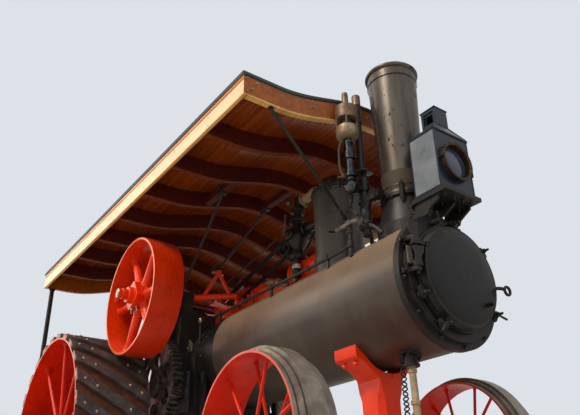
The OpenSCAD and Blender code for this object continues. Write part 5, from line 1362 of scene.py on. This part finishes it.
def dressCanopy():
    front, back, half, eave, rib, deep = (canopySet[k]
        for k in ("front", "back", "half", "eave", "rib", "deep"))

    # Painted light: the side boards get a pale cream copy of the fascia's pine, as the same wood would look in
    # sun
    def sideBoards(place, normal):
        return 1 if abs(normal.y) > 0.9 else 0

    def topAndEdges(place, normal):
        return 1 if normal.z > 0.2 or abs(normal.x) > 0.9 or abs(normal.y) > 0.9 else 0
    paintFaces("canopy_fascia", (litSideFascia,), sideBoards)
    paintFaces("canopy_roof", (roofSheet,), topAndEdges)
    # Matchboard ceiling: each board with eased edges, so a groove shows between two
    count, start = canopySet["boards"], -half + 26
    wide = -2 * start / count
    boards = []
    for k in range(count):
        y0, y1 = start + k * wide + 1.2, start + (k + 1) * wide - 1.2
        profile = [(y0, 27.5), (y0, 31), (y0 + 4, 35), (y1 - 4, 35), (y1, 31), (y1, 27.5)]
        corners = [Vector((x, y, roofZ(y) - drop)) for x in (back + rib, front - rib)
            for y, drop in profile]
        boards.append((corners, [list(range(6)), list(range(6, 12))] + loops(6)))
    makePiece("ceiling_boards", joined(*boards), "wood", look=ceilingWood, crease=20)

    def alongSide(s, inside, outside, reach, low, high):
        # Strip along one side board, from inside to outside of its face
        y0, y1 = sorted((s * (half - inside), s * (half + outside)))
        return block((back - reach, y0, eave - low), (front + reach, y1, eave - high))
    # Stained strip and pale bead along the side boards, and the roof sheet's turned edge
    strips, beads, edges = [[alongSide(s, *sizes) for s in (-1, 1)] for sizes in
        ((0, 4, 3, 58, 28), (20, 3, 2, deep + 3, deep - 9), (10, 9, 8, 28, -3))]
    makePiece("fascia_strips", joined(*strips), "wood", look=stainedPine, bevel=1.5)
    makePiece("fascia_beads", joined(*beads), "wood", look=yellowPine, bevel=3)
    edges += [acrossRoof(x, x + 10, -3, 20, half + 6) for x in (front - 1, back - 9)]
    makePiece("roof_edges", joined(*edges), "roof_sheet", bevel=1)
    # Nails and corner bolts in the fascias
    nails = [rivets(5, [((x, s * half, z), (0, s, 0)) for s in (-1, 1)
        for x in range(back + 60, front, canopySet["nails"]) for z in (eave - 84, eave - 150)])]
    for s in (-1, 1):
        spots = ((s * (half - 22), 48), (s * (half - 60), 118), (s * (half - 96), 60), (s * 560, 90),
            (s * 60, 90))
        nails.append(bolts(15, [((front, y, roofZ(y) - drop), (1, 0, 0)) for y, drop in spots], 0.3))
    makePiece("fascia_nails", joined(*nails), "gear_iron", look=greyBolt)
    # Beads on the lower edges of the ribs and of the front board
    bay = (front - back - rib) / canopySet["bays"]
    lips = [acrossRoof(front - rib - k * bay - 3, front - k * bay + 3, deep - 7, deep + 2, half - 27)
        for k in range(1, canopySet["bays"])]
    makePiece("rib_beads", joined(*lips), "wood", look=ribBead)
    lip = acrossRoof(front - rib - 2, front + 2, deep - 10, deep + 3, half - 27)
    makePiece("front_fascia_bead", lip, "wood", look=yellowPine)


staySet = {
    "rods": (((-10, -110, 2050), (188, -900, 2589)), ((-2116, -430, 1895), (-1080, -520, 2690)),
        ((-1684, -200, 2243), (-1290, 60, 2762)), ((-1847, 302, 1589), (-1080, 520, 2690))),
    "hangers": ((-1080, -520), (-1290, 60), (-1080, 520)),
    "post": (-3996, 1035, 2600),
}


def dressStays():
    shapes = []
    for low, high in staySet["rods"]:
        low, high = Vector(low), Vector(high)
        way = (high - low).normalized()
        buckle = [(11, 0), (19, 4), (19, 14), (15, 18), (15, 92), (19, 96), (19, 106), (11, 110)]
        shapes.append(lathed(buckle, 8, low.lerp(high, 0.2), way))
        for where in (low + way * 24, high - way * 80):
            shapes.append(lathed([(11, 0), (17, 5), (17, 40), (11, 46)], 16, where, way))
    # Forked hangers under the ribs
    for x, y in staySet["hangers"]:
        z = roofZ(y) - canopySet["deep"]
        shapes += [block((x - 26, y - 34, z + 2), (x + 26, y - 30, z + 54)),
            block((x - 26, y + 30, z + 2), (x + 26, y + 34, z + 54)),
            block((x - 26, y - 34, z - 3), (x + 26, y + 34, z + 3))]
        shapes += [placed(bolt(16), (x + dx, y - 34, z + 30), (0, -1, 0)) for dx in (-12, 12)]
    makePiece("stay_fittings", joined(*shapes), "black_iron", bevel=1)
    x, y, z = staySet["post"]
    feet = [placed(flange(34, 8, 4, 10), (x, s * y, z), (0, 0, -1)) for s in (-1, 1)]
    feet += [placed(bolt(20), (x + dx, s * (y - 30), height), (0, s, 0))
        for s in (-1, 1) for dx in (-26, 26) for height in (765, 1375)]
    makePiece("post_feet", joined(*feet), "black_iron", bevel=1)


# Firebox, steering, saddle, tender and gearing

fireboxSet = {
    "front": -1727, "back": -2627, "half": 378, "bottom": 640, "top": 1380,
    "sidePitch": (108, 104), "backPitch": (100, 104), "edgePitch": 62,
    "plugZ": 760,
    "patch": (-2290, -1812, 990, 1330),
    "glassY": -120, "cocksY": 120, "gaugeZ": 1830,
}


def dressFirebox():
    x0, x1, half, low, top = (fireboxSet[k] for k in ("back", "front", "half", "bottom", "top"))
    (pitchX, pitchZ), edge = fireboxSet["sidePitch"], fireboxSet["edgePitch"]
    heads = []
    for s in (-1, 1):
        heads.append(rivets(13, [((x, s * half, z), (0, s, 0)) for x in range(x0 + 70, x1 - 40, pitchX)
            for z in range(low + 130, top, pitchZ)]))
        heads.append(rivets(12, [((x, s * (half + 14), low + 30), (0, s, 0))
            for x in range(x0 + 20, x1, edge)]))
    heads.append(rivets(12, [((x0 - 14, y, low + 30), (-1, 0, 0)) for y in range(-350, 360, edge)]))
    # Backhead, clear of the fire door and inside the boiler's round
    pitchY, pitchZ = fireboxSet["backPitch"]
    heads.append(rivets(12, [((x0, y, z), (-1, 0, 0)) for y in range(-300, 301, pitchY)
        for z in range(low + 130, 1660, pitchZ)
        if math.hypot(y, max(0, z - boilerZ)) < 330 and not (abs(y) < 225 and 1000 < z < 1360)]))
    # Row round the wrapper's two ends
    for x in (x0 + 24, x1 - 24, x1 + 90):
        heads.append(rivets(12, [((x, half * s, boilerZ + half * c), (0, s, c))
            for c, s in map(ray, range(-88, 90, 9))]))
    makePiece("stay_bolts", joined(*heads), "black_iron")
    plug = joined(turned([(34, 0), (36, 3), (36, 9), (28, 12)], 24),
        lathed([(14, 0), (14, 16)], 4, (0, 0, 10)))
    places = [((x, s * half, fireboxSet["plugZ"]), (0, s, 0)) for s in (-1, 1) for x in (x0 + 60, x1 - 70)]
    places += [((x0, y, fireboxSet["plugZ"]), (-1, 0, 0)) for y in (-290, 290)]
    makePiece("washout_plugs", copies(plug, places), "bronze", bevel=1)
    # Riveted patch plate on the right side, and pale scaled brackets at the throat
    px0, px1, pz0, pz1 = fireboxSet["patch"]
    plate = block((px0, -half - 9, pz0), (px1, -half, pz1))
    spots = [(x, z) for x in range(px0 + 22, px1 - 8, 54) for z in (pz0 + 22, pz1 - 22)]
    spots += [(x, z) for x in (px0 + 22, px1 - 22) for z in range(pz0 + 76, pz1 - 30, 54)]
    rim = rivets(11, [((x, -half - 9, z), (0, -1, 0)) for x, z in spots])
    makePiece("patch_plate", joined(plate, rim), "black_iron", look=patchSteel, bevel=1)
    outlines = ([(-1972, 1490), (-1792, 1490), (-1792, 1560), (-1860, 1612), (-1972, 1580)],
        [(-2012, 1334), (-1872, 1334), (-1872, 1400), (-1960, 1462), (-2012, 1440)])
    clips = [([Vector((c.x, -half - 6 + c.z, c.y)) for c in corners], faces)
        for corners, faces in (prism(outline, 0, 10) for outline in outlines)]
    spots = ((-1930, 1530), (-1830, 1520), (-1980, 1380), (-1910, 1370))
    clips.append(bolts(18, [((x, -half - 7, z), (0, -1, 0)) for x, z in spots]))
    makePiece("throat_brackets", joined(*clips), "gear_iron", look=rivetSteel, bevel=1.5)
    # Backhead: gauge glass, try cocks, pressure gauge with a blank dial, and the fire door's latch
    y, gaugeZ = fireboxSet["glassY"], fireboxSet["gaugeZ"]
    makePiece("gauge_glass", tube([(x0 - 52, y, 1470), (x0 - 52, y, 1660)], 9, 14), "bright_steel",
        look=paleGlass)
    brass = [joined(lathed([(15, 0), (15, 40), (20, 44), (20, 64), (12, 70)], 16, (x0, y, z), (-1, 0, 0)),
        lathed(eased(13, 16, -22, 22, 6), 14, (x0 - 52, y, z))) for z in (1465, 1665)]
    y = fireboxSet["cocksY"]
    brass += [joined(lathed([(11, 0), (11, 50), (15, 54), (15, 74)], 14, (x0, y, z), (-1, 0, 0)),
        tube([(x0 - 64, y, z), (x0 - 70, y + 48, z)], 6, 8)) for z in (1480, 1560, 1640)]
    brass += [lathed([(78, -16), (82, -12), (82, 12), (76, 16), (70, 13), (70, 11), (0, 11)], 40,
        (x0 - 70, 0, gaugeZ), (-1, 0, 0)),
        pipe([(x0 - 60, 0, 1760), (x0 - 60, 0, 1700), (x0 - 10, 0, 1690)], 24, 8)]
    makePiece("backhead_fittings", joined(*brass), "bronze")
    dial = lathed([(69, 0), (69, 2), (0, 2)], 40, (x0 - 82, 0, gaugeZ), (-1, 0, 0))
    makePiece("gauge_dial", dial, "lamp_steel", look=dialWhite)
    latch = [block((x0 - 30, -154, 1172), (x0 - 24, 110, 1188)),
        pipe([(x0 - 30, -130, 1180), (x0 - 62, -130, 1180), (x0 - 62, -130, 1110)], 16, 9),
        rivets(9, [((x0 - 24, y, z), (-1, 0, 0)) for y in (-140, 0, 140) for z in (1070, 1290)])]
    makePiece("fire_door_latch", joined(*latch), "black_iron", "fire_door", bevel=1)


steeringSet = {
    "roller": (-1617, 890), "rollerR": 56,
    "wound": 315, "creep": 4.2,  # where the coils start, and what they move along per radian
    "eye": (-60, 470, 545), "sag": 46,
    "thick": 6, "pitch": 34, "wide": 15,
}


def chain(path):
    # Welded links along a path, every other one turned on its side
    path = [Vector(point) for point in path]
    thick, pitch, wide = (steeringSet[k] for k in ("thick", "pitch", "wide"))
    length = sum((b - a).length for a, b in zip(path, path[1:]))
    link = tube([(wide * c, 0, pitch * 0.72 * s) for c, s in circle(1, 10)], thick, 6, True)
    shapes, segment, done = [], 0, 0.0
    for n in range(int(length / pitch)):
        along = (n + 0.5) * pitch
        while along > done + (path[segment + 1] - path[segment]).length and segment < len(path) - 2:
            done += (path[segment + 1] - path[segment]).length
            segment += 1
        way = (path[segment + 1] - path[segment]).normalized()
        shapes.append(placed(link, path[segment] + way * (along - done), way, 90 * (n % 2)))
    return joined(*shapes)


def dressSteering():
    # Chain wound on the roller, and its two ends led to the front axle
    (x, z), radius, eyeX, eyeY, eyeZ = steeringSet["roller"], steeringSet["rollerR"], *steeringSet["eye"]
    wound = []
    angles = [k * math.tau / 12 for k in range(61)]
    for side in (-1, 1):
        wound.append(chain([(x + radius * math.sin(a), side * (steeringSet["wound"] - a * steeringSet["creep"]),
            z - radius * math.cos(a)) for a in angles]))
    makePiece("roller_chain", joined(*wound), "gear_iron", look=rivetSteel)
    for side, label in sides:
        start, end = Vector((x + 20, side * 300, z - 54)), Vector((eyeX, side * eyeY, eyeZ))
        sag = [start.lerp(end, t / 8) - Vector((0, 0, steeringSet["sag"] * math.sin(math.pi * t / 8)))
            for t in range(9)]
        strand = makePiece("steering_chain_" + label, chain(sag), "gear_iron", body=None)
        start, end = [tuple((point + Vector((frontAxle / mm, 0, 0))) * mm) for point in (start, end)]
        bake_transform(strand)
        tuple(start)
        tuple(end)
        y = side * eyeY
        eye = joined(tube([(eyeX + dx, y, eyeZ - 5 + dz) for dx, dz in circle(20, 14)], 7, 8, True),
            block((eyeX + 2, y - 16, eyeZ - 25), (eyeX + 14, y + 16, eyeZ + 15)))
        makePiece("axle_eye_" + label, eye, "orange_red", "front_axle", bevel=1)


saddleSet = {
    "x": middleOf("front_saddle")[0],
    "arm": [(94, 915), (101, 936), (114, 958), (138, 980), (178, 1004), (226, 1020), (258, 1028),
        (272, 1040), (276, 1056), (276, 1178), (270, 1192), (258, 1199)],  # right arm's lower edge
    "notch": (256, 1215),  # radius and height of the round that clears the smokebox
    "faces": (94, 101), "half": 98,
    "column": ((700, 36), (760, 36), (810, 34), (858, 15), (900, 8), (938, 1)),  # heights and corner cuts
    "columnX": 104, "columnY": 97,
}


def dressSaddle():
    # Skin that gives the casting its swept arms and its long facets, then the bolts
    x0, arm, (notchR, notchZ), (near, far), half = (saddleSet[k]
        for k in ("x", "arm", "notch", "faces", "half"))
    for s, label in sides:
        notch = [(notchR * c, notchZ - notchR * up) for c, up in map(ray, range(4, 86, 9))]
        outline = [(s * y, z) for y, z in arm + notch + [(20, 955), (20, 915)]]
        for end, back, front in (("_rear", x0 - far, x0 - near), ("_front", x0 + near, x0 + far)):
            makePiece("saddle_face_" + label + end, upright(outline, back, front), "orange_red", bevel=2.5)
        # The arm's swept underside, 12 mm thick
        edge = arm[:10]
        skin = [Vector((x0 + x, s * (y - inside), z + up))
            for inside, up in ((0, 0), (12, 8)) for y, z in edge for x in (-half, half)]
        count, steps = len(edge) * 2, range(0, len(edge) * 2 - 2, 2)
        quads = [(k, k + 1, k + 3, k + 2) for k in steps]
        quads += [tuple(count + k for k in quad)[::-1] for quad in quads]
        quads += [(0, count, count + 1, 1), (count - 2, count - 1, 2 * count - 1, 2 * count - 2)]
        quads += [(k, k + 2, count + k + 2, count + k) for k in steps]
        quads += [(k + 1, count + k + 1, count + k + 3, k + 3) for k in steps]
        makePiece("saddle_arm_" + label, (skin, quads), "orange_red", bevel=2.5)
    # Eight-sided column whose corner cuts run out towards the top
    w, d, rings = saddleSet["columnY"], saddleSet["columnX"], saddleSet["column"]
    corners = [Vector((x0 + x, y, z)) for z, cut in rings
        for x, y in ((cut - d, -w), (d - cut, -w), (d, cut - w), (d, w - cut),
            (d - cut, w), (cut - d, w), (-d, w - cut), (-d, cut - w))]
    faces = [[8 * row + k for k in face] for row in range(len(rings) - 1) for face in loops(8)]
    makePiece("saddle_column", (corners, faces), "orange_red", crease=20)
    shapes = [bolts(28, [((x0 + dx, s * 236, 1020), (0, s * 0.2, -1)) for s in (-1, 1) for dx in (-52, 52)],
        0.2, False),
        lathed(eased(121, 126, 0, 40, 6), 48, (x0, 0, 655))]
    makePiece("saddle_bolts", joined(*shapes), "orange_red", bevel=3)


tenderSet = {"pitch": 55, "endPitch": 58, "endRivets": 10, "filler": 136}


def dressTender():
    # Rivet rows round the bunker's and the tank's plates
    pitch, places = tenderSet["pitch"], []
    for node, s, down in (("coal_bunker", 1, 22), ("water_tank", -1, 52)):
        low, high = boxOf(node)
        side = high.y if s > 0 else low.y
        for z in (low.z + 22, high.z - down):
            places += [((low.x + 28 + k * pitch, side, z), (0, s, 0))
                for k in range(int((high.x - low.x - 40) / pitch))]
            places += [((x, low.y + 30 + k * pitch, z), (way, 0, 0))
                for x, way in ((low.x, -1), (high.x, 1))
                for k in range(int((high.y - low.y - 40) / pitch))]
        for x in (low.x + 24, high.x - 24):
            places += [((x, side, low.z + 70 + k * tenderSet["endPitch"]), (0, s, 0))
                for k in range(tenderSet["endRivets"])]
    makePiece("tank_rivets", rivets(8, places), "black_iron")
    # The tank's filler: lid, handle and bolts
    x, y, top = (low.x + high.x) / 2, (low.y + high.y) / 2, high.z
    lid = [lathed([(112, -22), (118, -18), (118, -8), (112, -4), (104, 0), (60, 8), (0, 10)], 40,
        (x, y, top)),
        pipe([(x, y - 50, top + 4), (x, y - 50, top + 44), (x, y + 50, top + 44), (x, y + 50, top + 4)], 22,
            9, 12),
        bolts(16, [((x + a, y + b, top - 30), (0, 0, 1)) for a, b in circle(tenderSet["filler"], 8)])]
    makePiece("tank_filler", joined(*lid), "black_iron", bevel=1)


gearSideSet = {
    "web": [(-378, 1560), (-378, 1872), (-300, 1880), (-210, 1846), (-132, 1850), (-132, 1660)],
    "webX": (-1862, -1840),
    "stud": (-2173.3, -618, 1750.6),
    "bearing": ((-1990, 1990), (-1828, 1990), (-1990, 1862), (-1828, 1862)),
    "oilStand": (-1707, -350, 1528),
}


def dressGearSide():
    # Web between the gear bracket and the crank's pedestal, the stud nuts and the oil stand
    nut = joined(turned([(56, 0), (58, 3), (58, 12), (54, 15)], 28), bolt(52, 0.5, False))
    studs = [placed(nut, gearSideSet["stud"], (0, -1, 0)),
        bolts(24, [((x, -470, z), (0, -1, 0)) for x, z in gearSideSet["bearing"]], 0.6)]
    web = upright(gearSideSet["web"], *gearSideSet["webX"])
    makePiece("gear_bracket_web", joined(web, *studs), "black_iron", bevel=1.5)
    stand = [(11, 0), (11, 168), (16, 172), (16, 186), (12, 190)]
    makePiece("stand_oil_pipe", lathed(stand, 16, gearSideSet["oilStand"]), "black_iron")
    cup = [(12, 188), (21, 192), (25, 198), (25, 222), (21, 230), (9, 233), (9, 240), (0, 242)]
    makePiece("stand_oil_cup", lathed(cup, 22, gearSideSet["oilStand"]), "bright_steel", look=paleEnd)


print("making materials")
darkRed = enamelOnCastIron("shaded_guide_enamel", "#B02414", "#7A160C")
# Paler copies of the red and orange enamels: painted highlights along the rims' edges
edgeHighlightRed = enamelOnCastIron("painted_edge_highlight_red", "#DC5A3C", "#C43A1E")
edgeHighlightOrange = enamelOnCastIron("painted_edge_highlight_orange", "#EC7A50", "#DE5024")
beltFace = enamelOnCastIron("belt_face_enamel", "#DE3404", "#C02802", (-788, 9))
oilyIron = blackEnamel("oiled_black_iron", "#1B1A1A", "#3A342E", 0.28)
doorBlack = blackEnamel("gloss_door_black", "#131212", "#1F1B18", 0.24)
wornPlate = blackEnamel("worn_plate_steel", "#6B6259", "#8C8072", 0.45)
scaledSteel = blackEnamel("scaled_collar_steel", "#453A31", "#5A4C3E", 0.6)
patchSteel = blackEnamel("scaled_patch_plate", "#4A4A4E", "#66625E", 0.5)
beltLeather = blackEnamel("belt_leather", "#1A1716", "#2E2824", 0.5)
lugSteel = treadSteel("worn_lug_steel", "#484040", "#6C605A", "#54422F")
lugEnd = treadSteel("lug_end_steel", "#74503F", "#946A56", "#4A3428")
plateRust = treadSteel("rusted_tread_plate", "#7A4428", "#4A2E22", "#3A2A20")
rivetSteel = treadSteel("rivet_steel", "#8A7C70", "#A89684", "#5A4030")
tyreSteel = treadSteel("front_tyre_steel", "#6E655D", "#A4988B", "#7E6A52", (957, 922))
oilyBall = turnedSteel("oiled_whistle_ball", "#5C5E64", "#26262A")
greyBolt = turnedSteel("dull_bolt_steel", "#B0A698", "#7A6C5C")
paleEnd = turnedSteel("bright_shaft_end", "#9C8474", "#705C4E")
blueSteel = turnedSteel("blued_coupling_steel", "#44484F", "#222326")
lampRing = bronze("japanned_brass_ring", "#4A3A30", "#241C18")
paleBronze = bronze("pale_bronze_bowl", "#A49274", "#786650", 0.5)
oliveBronze = bronze("olive_cast_bronze", "#5E4E2A", "#3A301C")
valveBronze = bronze("rubbed_valve_bronze", "#8C8074", "#4A423A", 0.4)
tanPipe = bronze("oiled_brass_pipe", "#B8A080", "#8A765E", 0.3)
tanBronze = bronze("tan_bronze_bell", "#836852", "#584434", 0.4)
# Paler copy of the japanned sheet for the lamp's sides: painted light
litLampSide = lampEnamel("painted_lit_lamp_side", "#626A72", "#858B92")
paleGlass = lampEnamel("oil_glass", "#B8B4A8", "#D8D4C8")
dialWhite = lampEnamel("dial_enamel", "#DCD8CC", "#CFC9B8")
lampGlass = darkGlass()
ceilingWood = varnishedPine("varnished_pine_boards", "#A44C0C", "#6C2806", 54.7, 0.26)
ribWood = varnishedPine("dark_stained_ribs", "#5A180C", "#3A0E08", gloss=0.5, coat=0.0)
ribBead = varnishedPine("stained_rib_bead", "#7A340A", "#521E06", gloss=0.6, coat=0.0)
# Pale cream copy of the fascia's pine for the side boards: painted light
litSideFascia = varnishedPine("painted_lit_side_fascia", "#F6DDB2", "#EBC894", coat=0.1)
stainedPine = varnishedPine("orange_stained_strip", "#D8780E", "#B85E0C", coat=0.2)
yellowPine = varnishedPine("pale_varnished_bead", "#E8C070", "#D09A48", coat=0.2)
roofSheet = roofFelt()

slotFinish = {
    "black_iron": blackEnamel("black_stove_enamel", "#1F1E1E", "#37322D"),
    "lagging": laggingSheet(-1400),
    "dome_grey": domeSheet(),
    "chimney_steel": chimneySteel(),
    "orange_red": enamelOnCastIron("orange_enamel", "#EE3C04", "#D22C02"),
    "wheel_red": enamelOnCastIron("red_enamel", "#E62A04", "#C01C02"),
    "gear_iron": greasyIron(),
    "bright_steel": turnedSteel("turned_steel", "#A8A39B", "#5C4E40"),
    "bronze": bronze("weathered_bronze", "#B08A5C", "#6E5844"),
    "lamp_steel": lampEnamel("japanned_lamp_sheet", "#131C2A", "#1E2838"),
    "wood": varnishedPine("varnished_pine_fascia", "#B0601E", "#8A4414", coat=0.2),
    "roof_sheet": roofSheet,
}
nodeFinish = {"canopy_ribs": ribWood, "canopy_roof": ceilingWood, "smokebox_door": doorBlack}
shellSet = {"ringX": 671, "ringR": 399, "lampX": 879, "lampSide": (1920, 2330)}


def smokeboxSide(place, normal):
    # The smokebox shell is the same sheet as the lagging; only its ring and front are black
    shell = place.x < shellSet["ringX"] and math.hypot(place.y, place.z - boilerZ) > shellSet["ringR"] - 8
    return 1 if shell and abs(normal.x) < 0.5 else 0


def lampSide(place, normal):
    # The ring's rim ahead of the box, and the right side in the paler copy of the sheet: painted light, as if
    # lit
    low, high = shellSet["lampSide"]
    return 1 if place.x > shellSet["lampX"] else 2 if normal.y < -0.9 and low < place.z < high else 0


def paintSolids():
    slots = {part["node"]: part["material_slot"] for part in frame["record"]["subparts"]}
    for name, solid in nodes.items():
        solid.data.materials.clear()
        solid.data.materials.append(nodeFinish.get(name, slotFinish[slots[name]]))
    paintFaces("smokebox", (slotFinish["lagging"],), smokeboxSide)
    paintFaces("headlamp", (lampRing, litLampSide), lampSide)


paintSolids()
for part, jobs in (
        ("front", (dressDoor, dressSmokebox, dressChimney, dressLamp)),
        ("engine", (dressCylinder, dressGuide, dressStruts, dressGovernor, dressLubricator)),
        ("boiler's top", (dressDome, dressWhistle, dressValves, dressFeedPipe)),
        ("canopy", (dressCanopy, dressStays)),
        ("rest", (dressFirebox, dressSteering, dressSaddle, dressTender, dressGearSide)),
        ("wheels", (dressFlywheel, dressWheels)),
        ("studio", (makeCamera, makeLights, makeFloor))):
    print("making the " + part)
    for job in jobs:
        job()
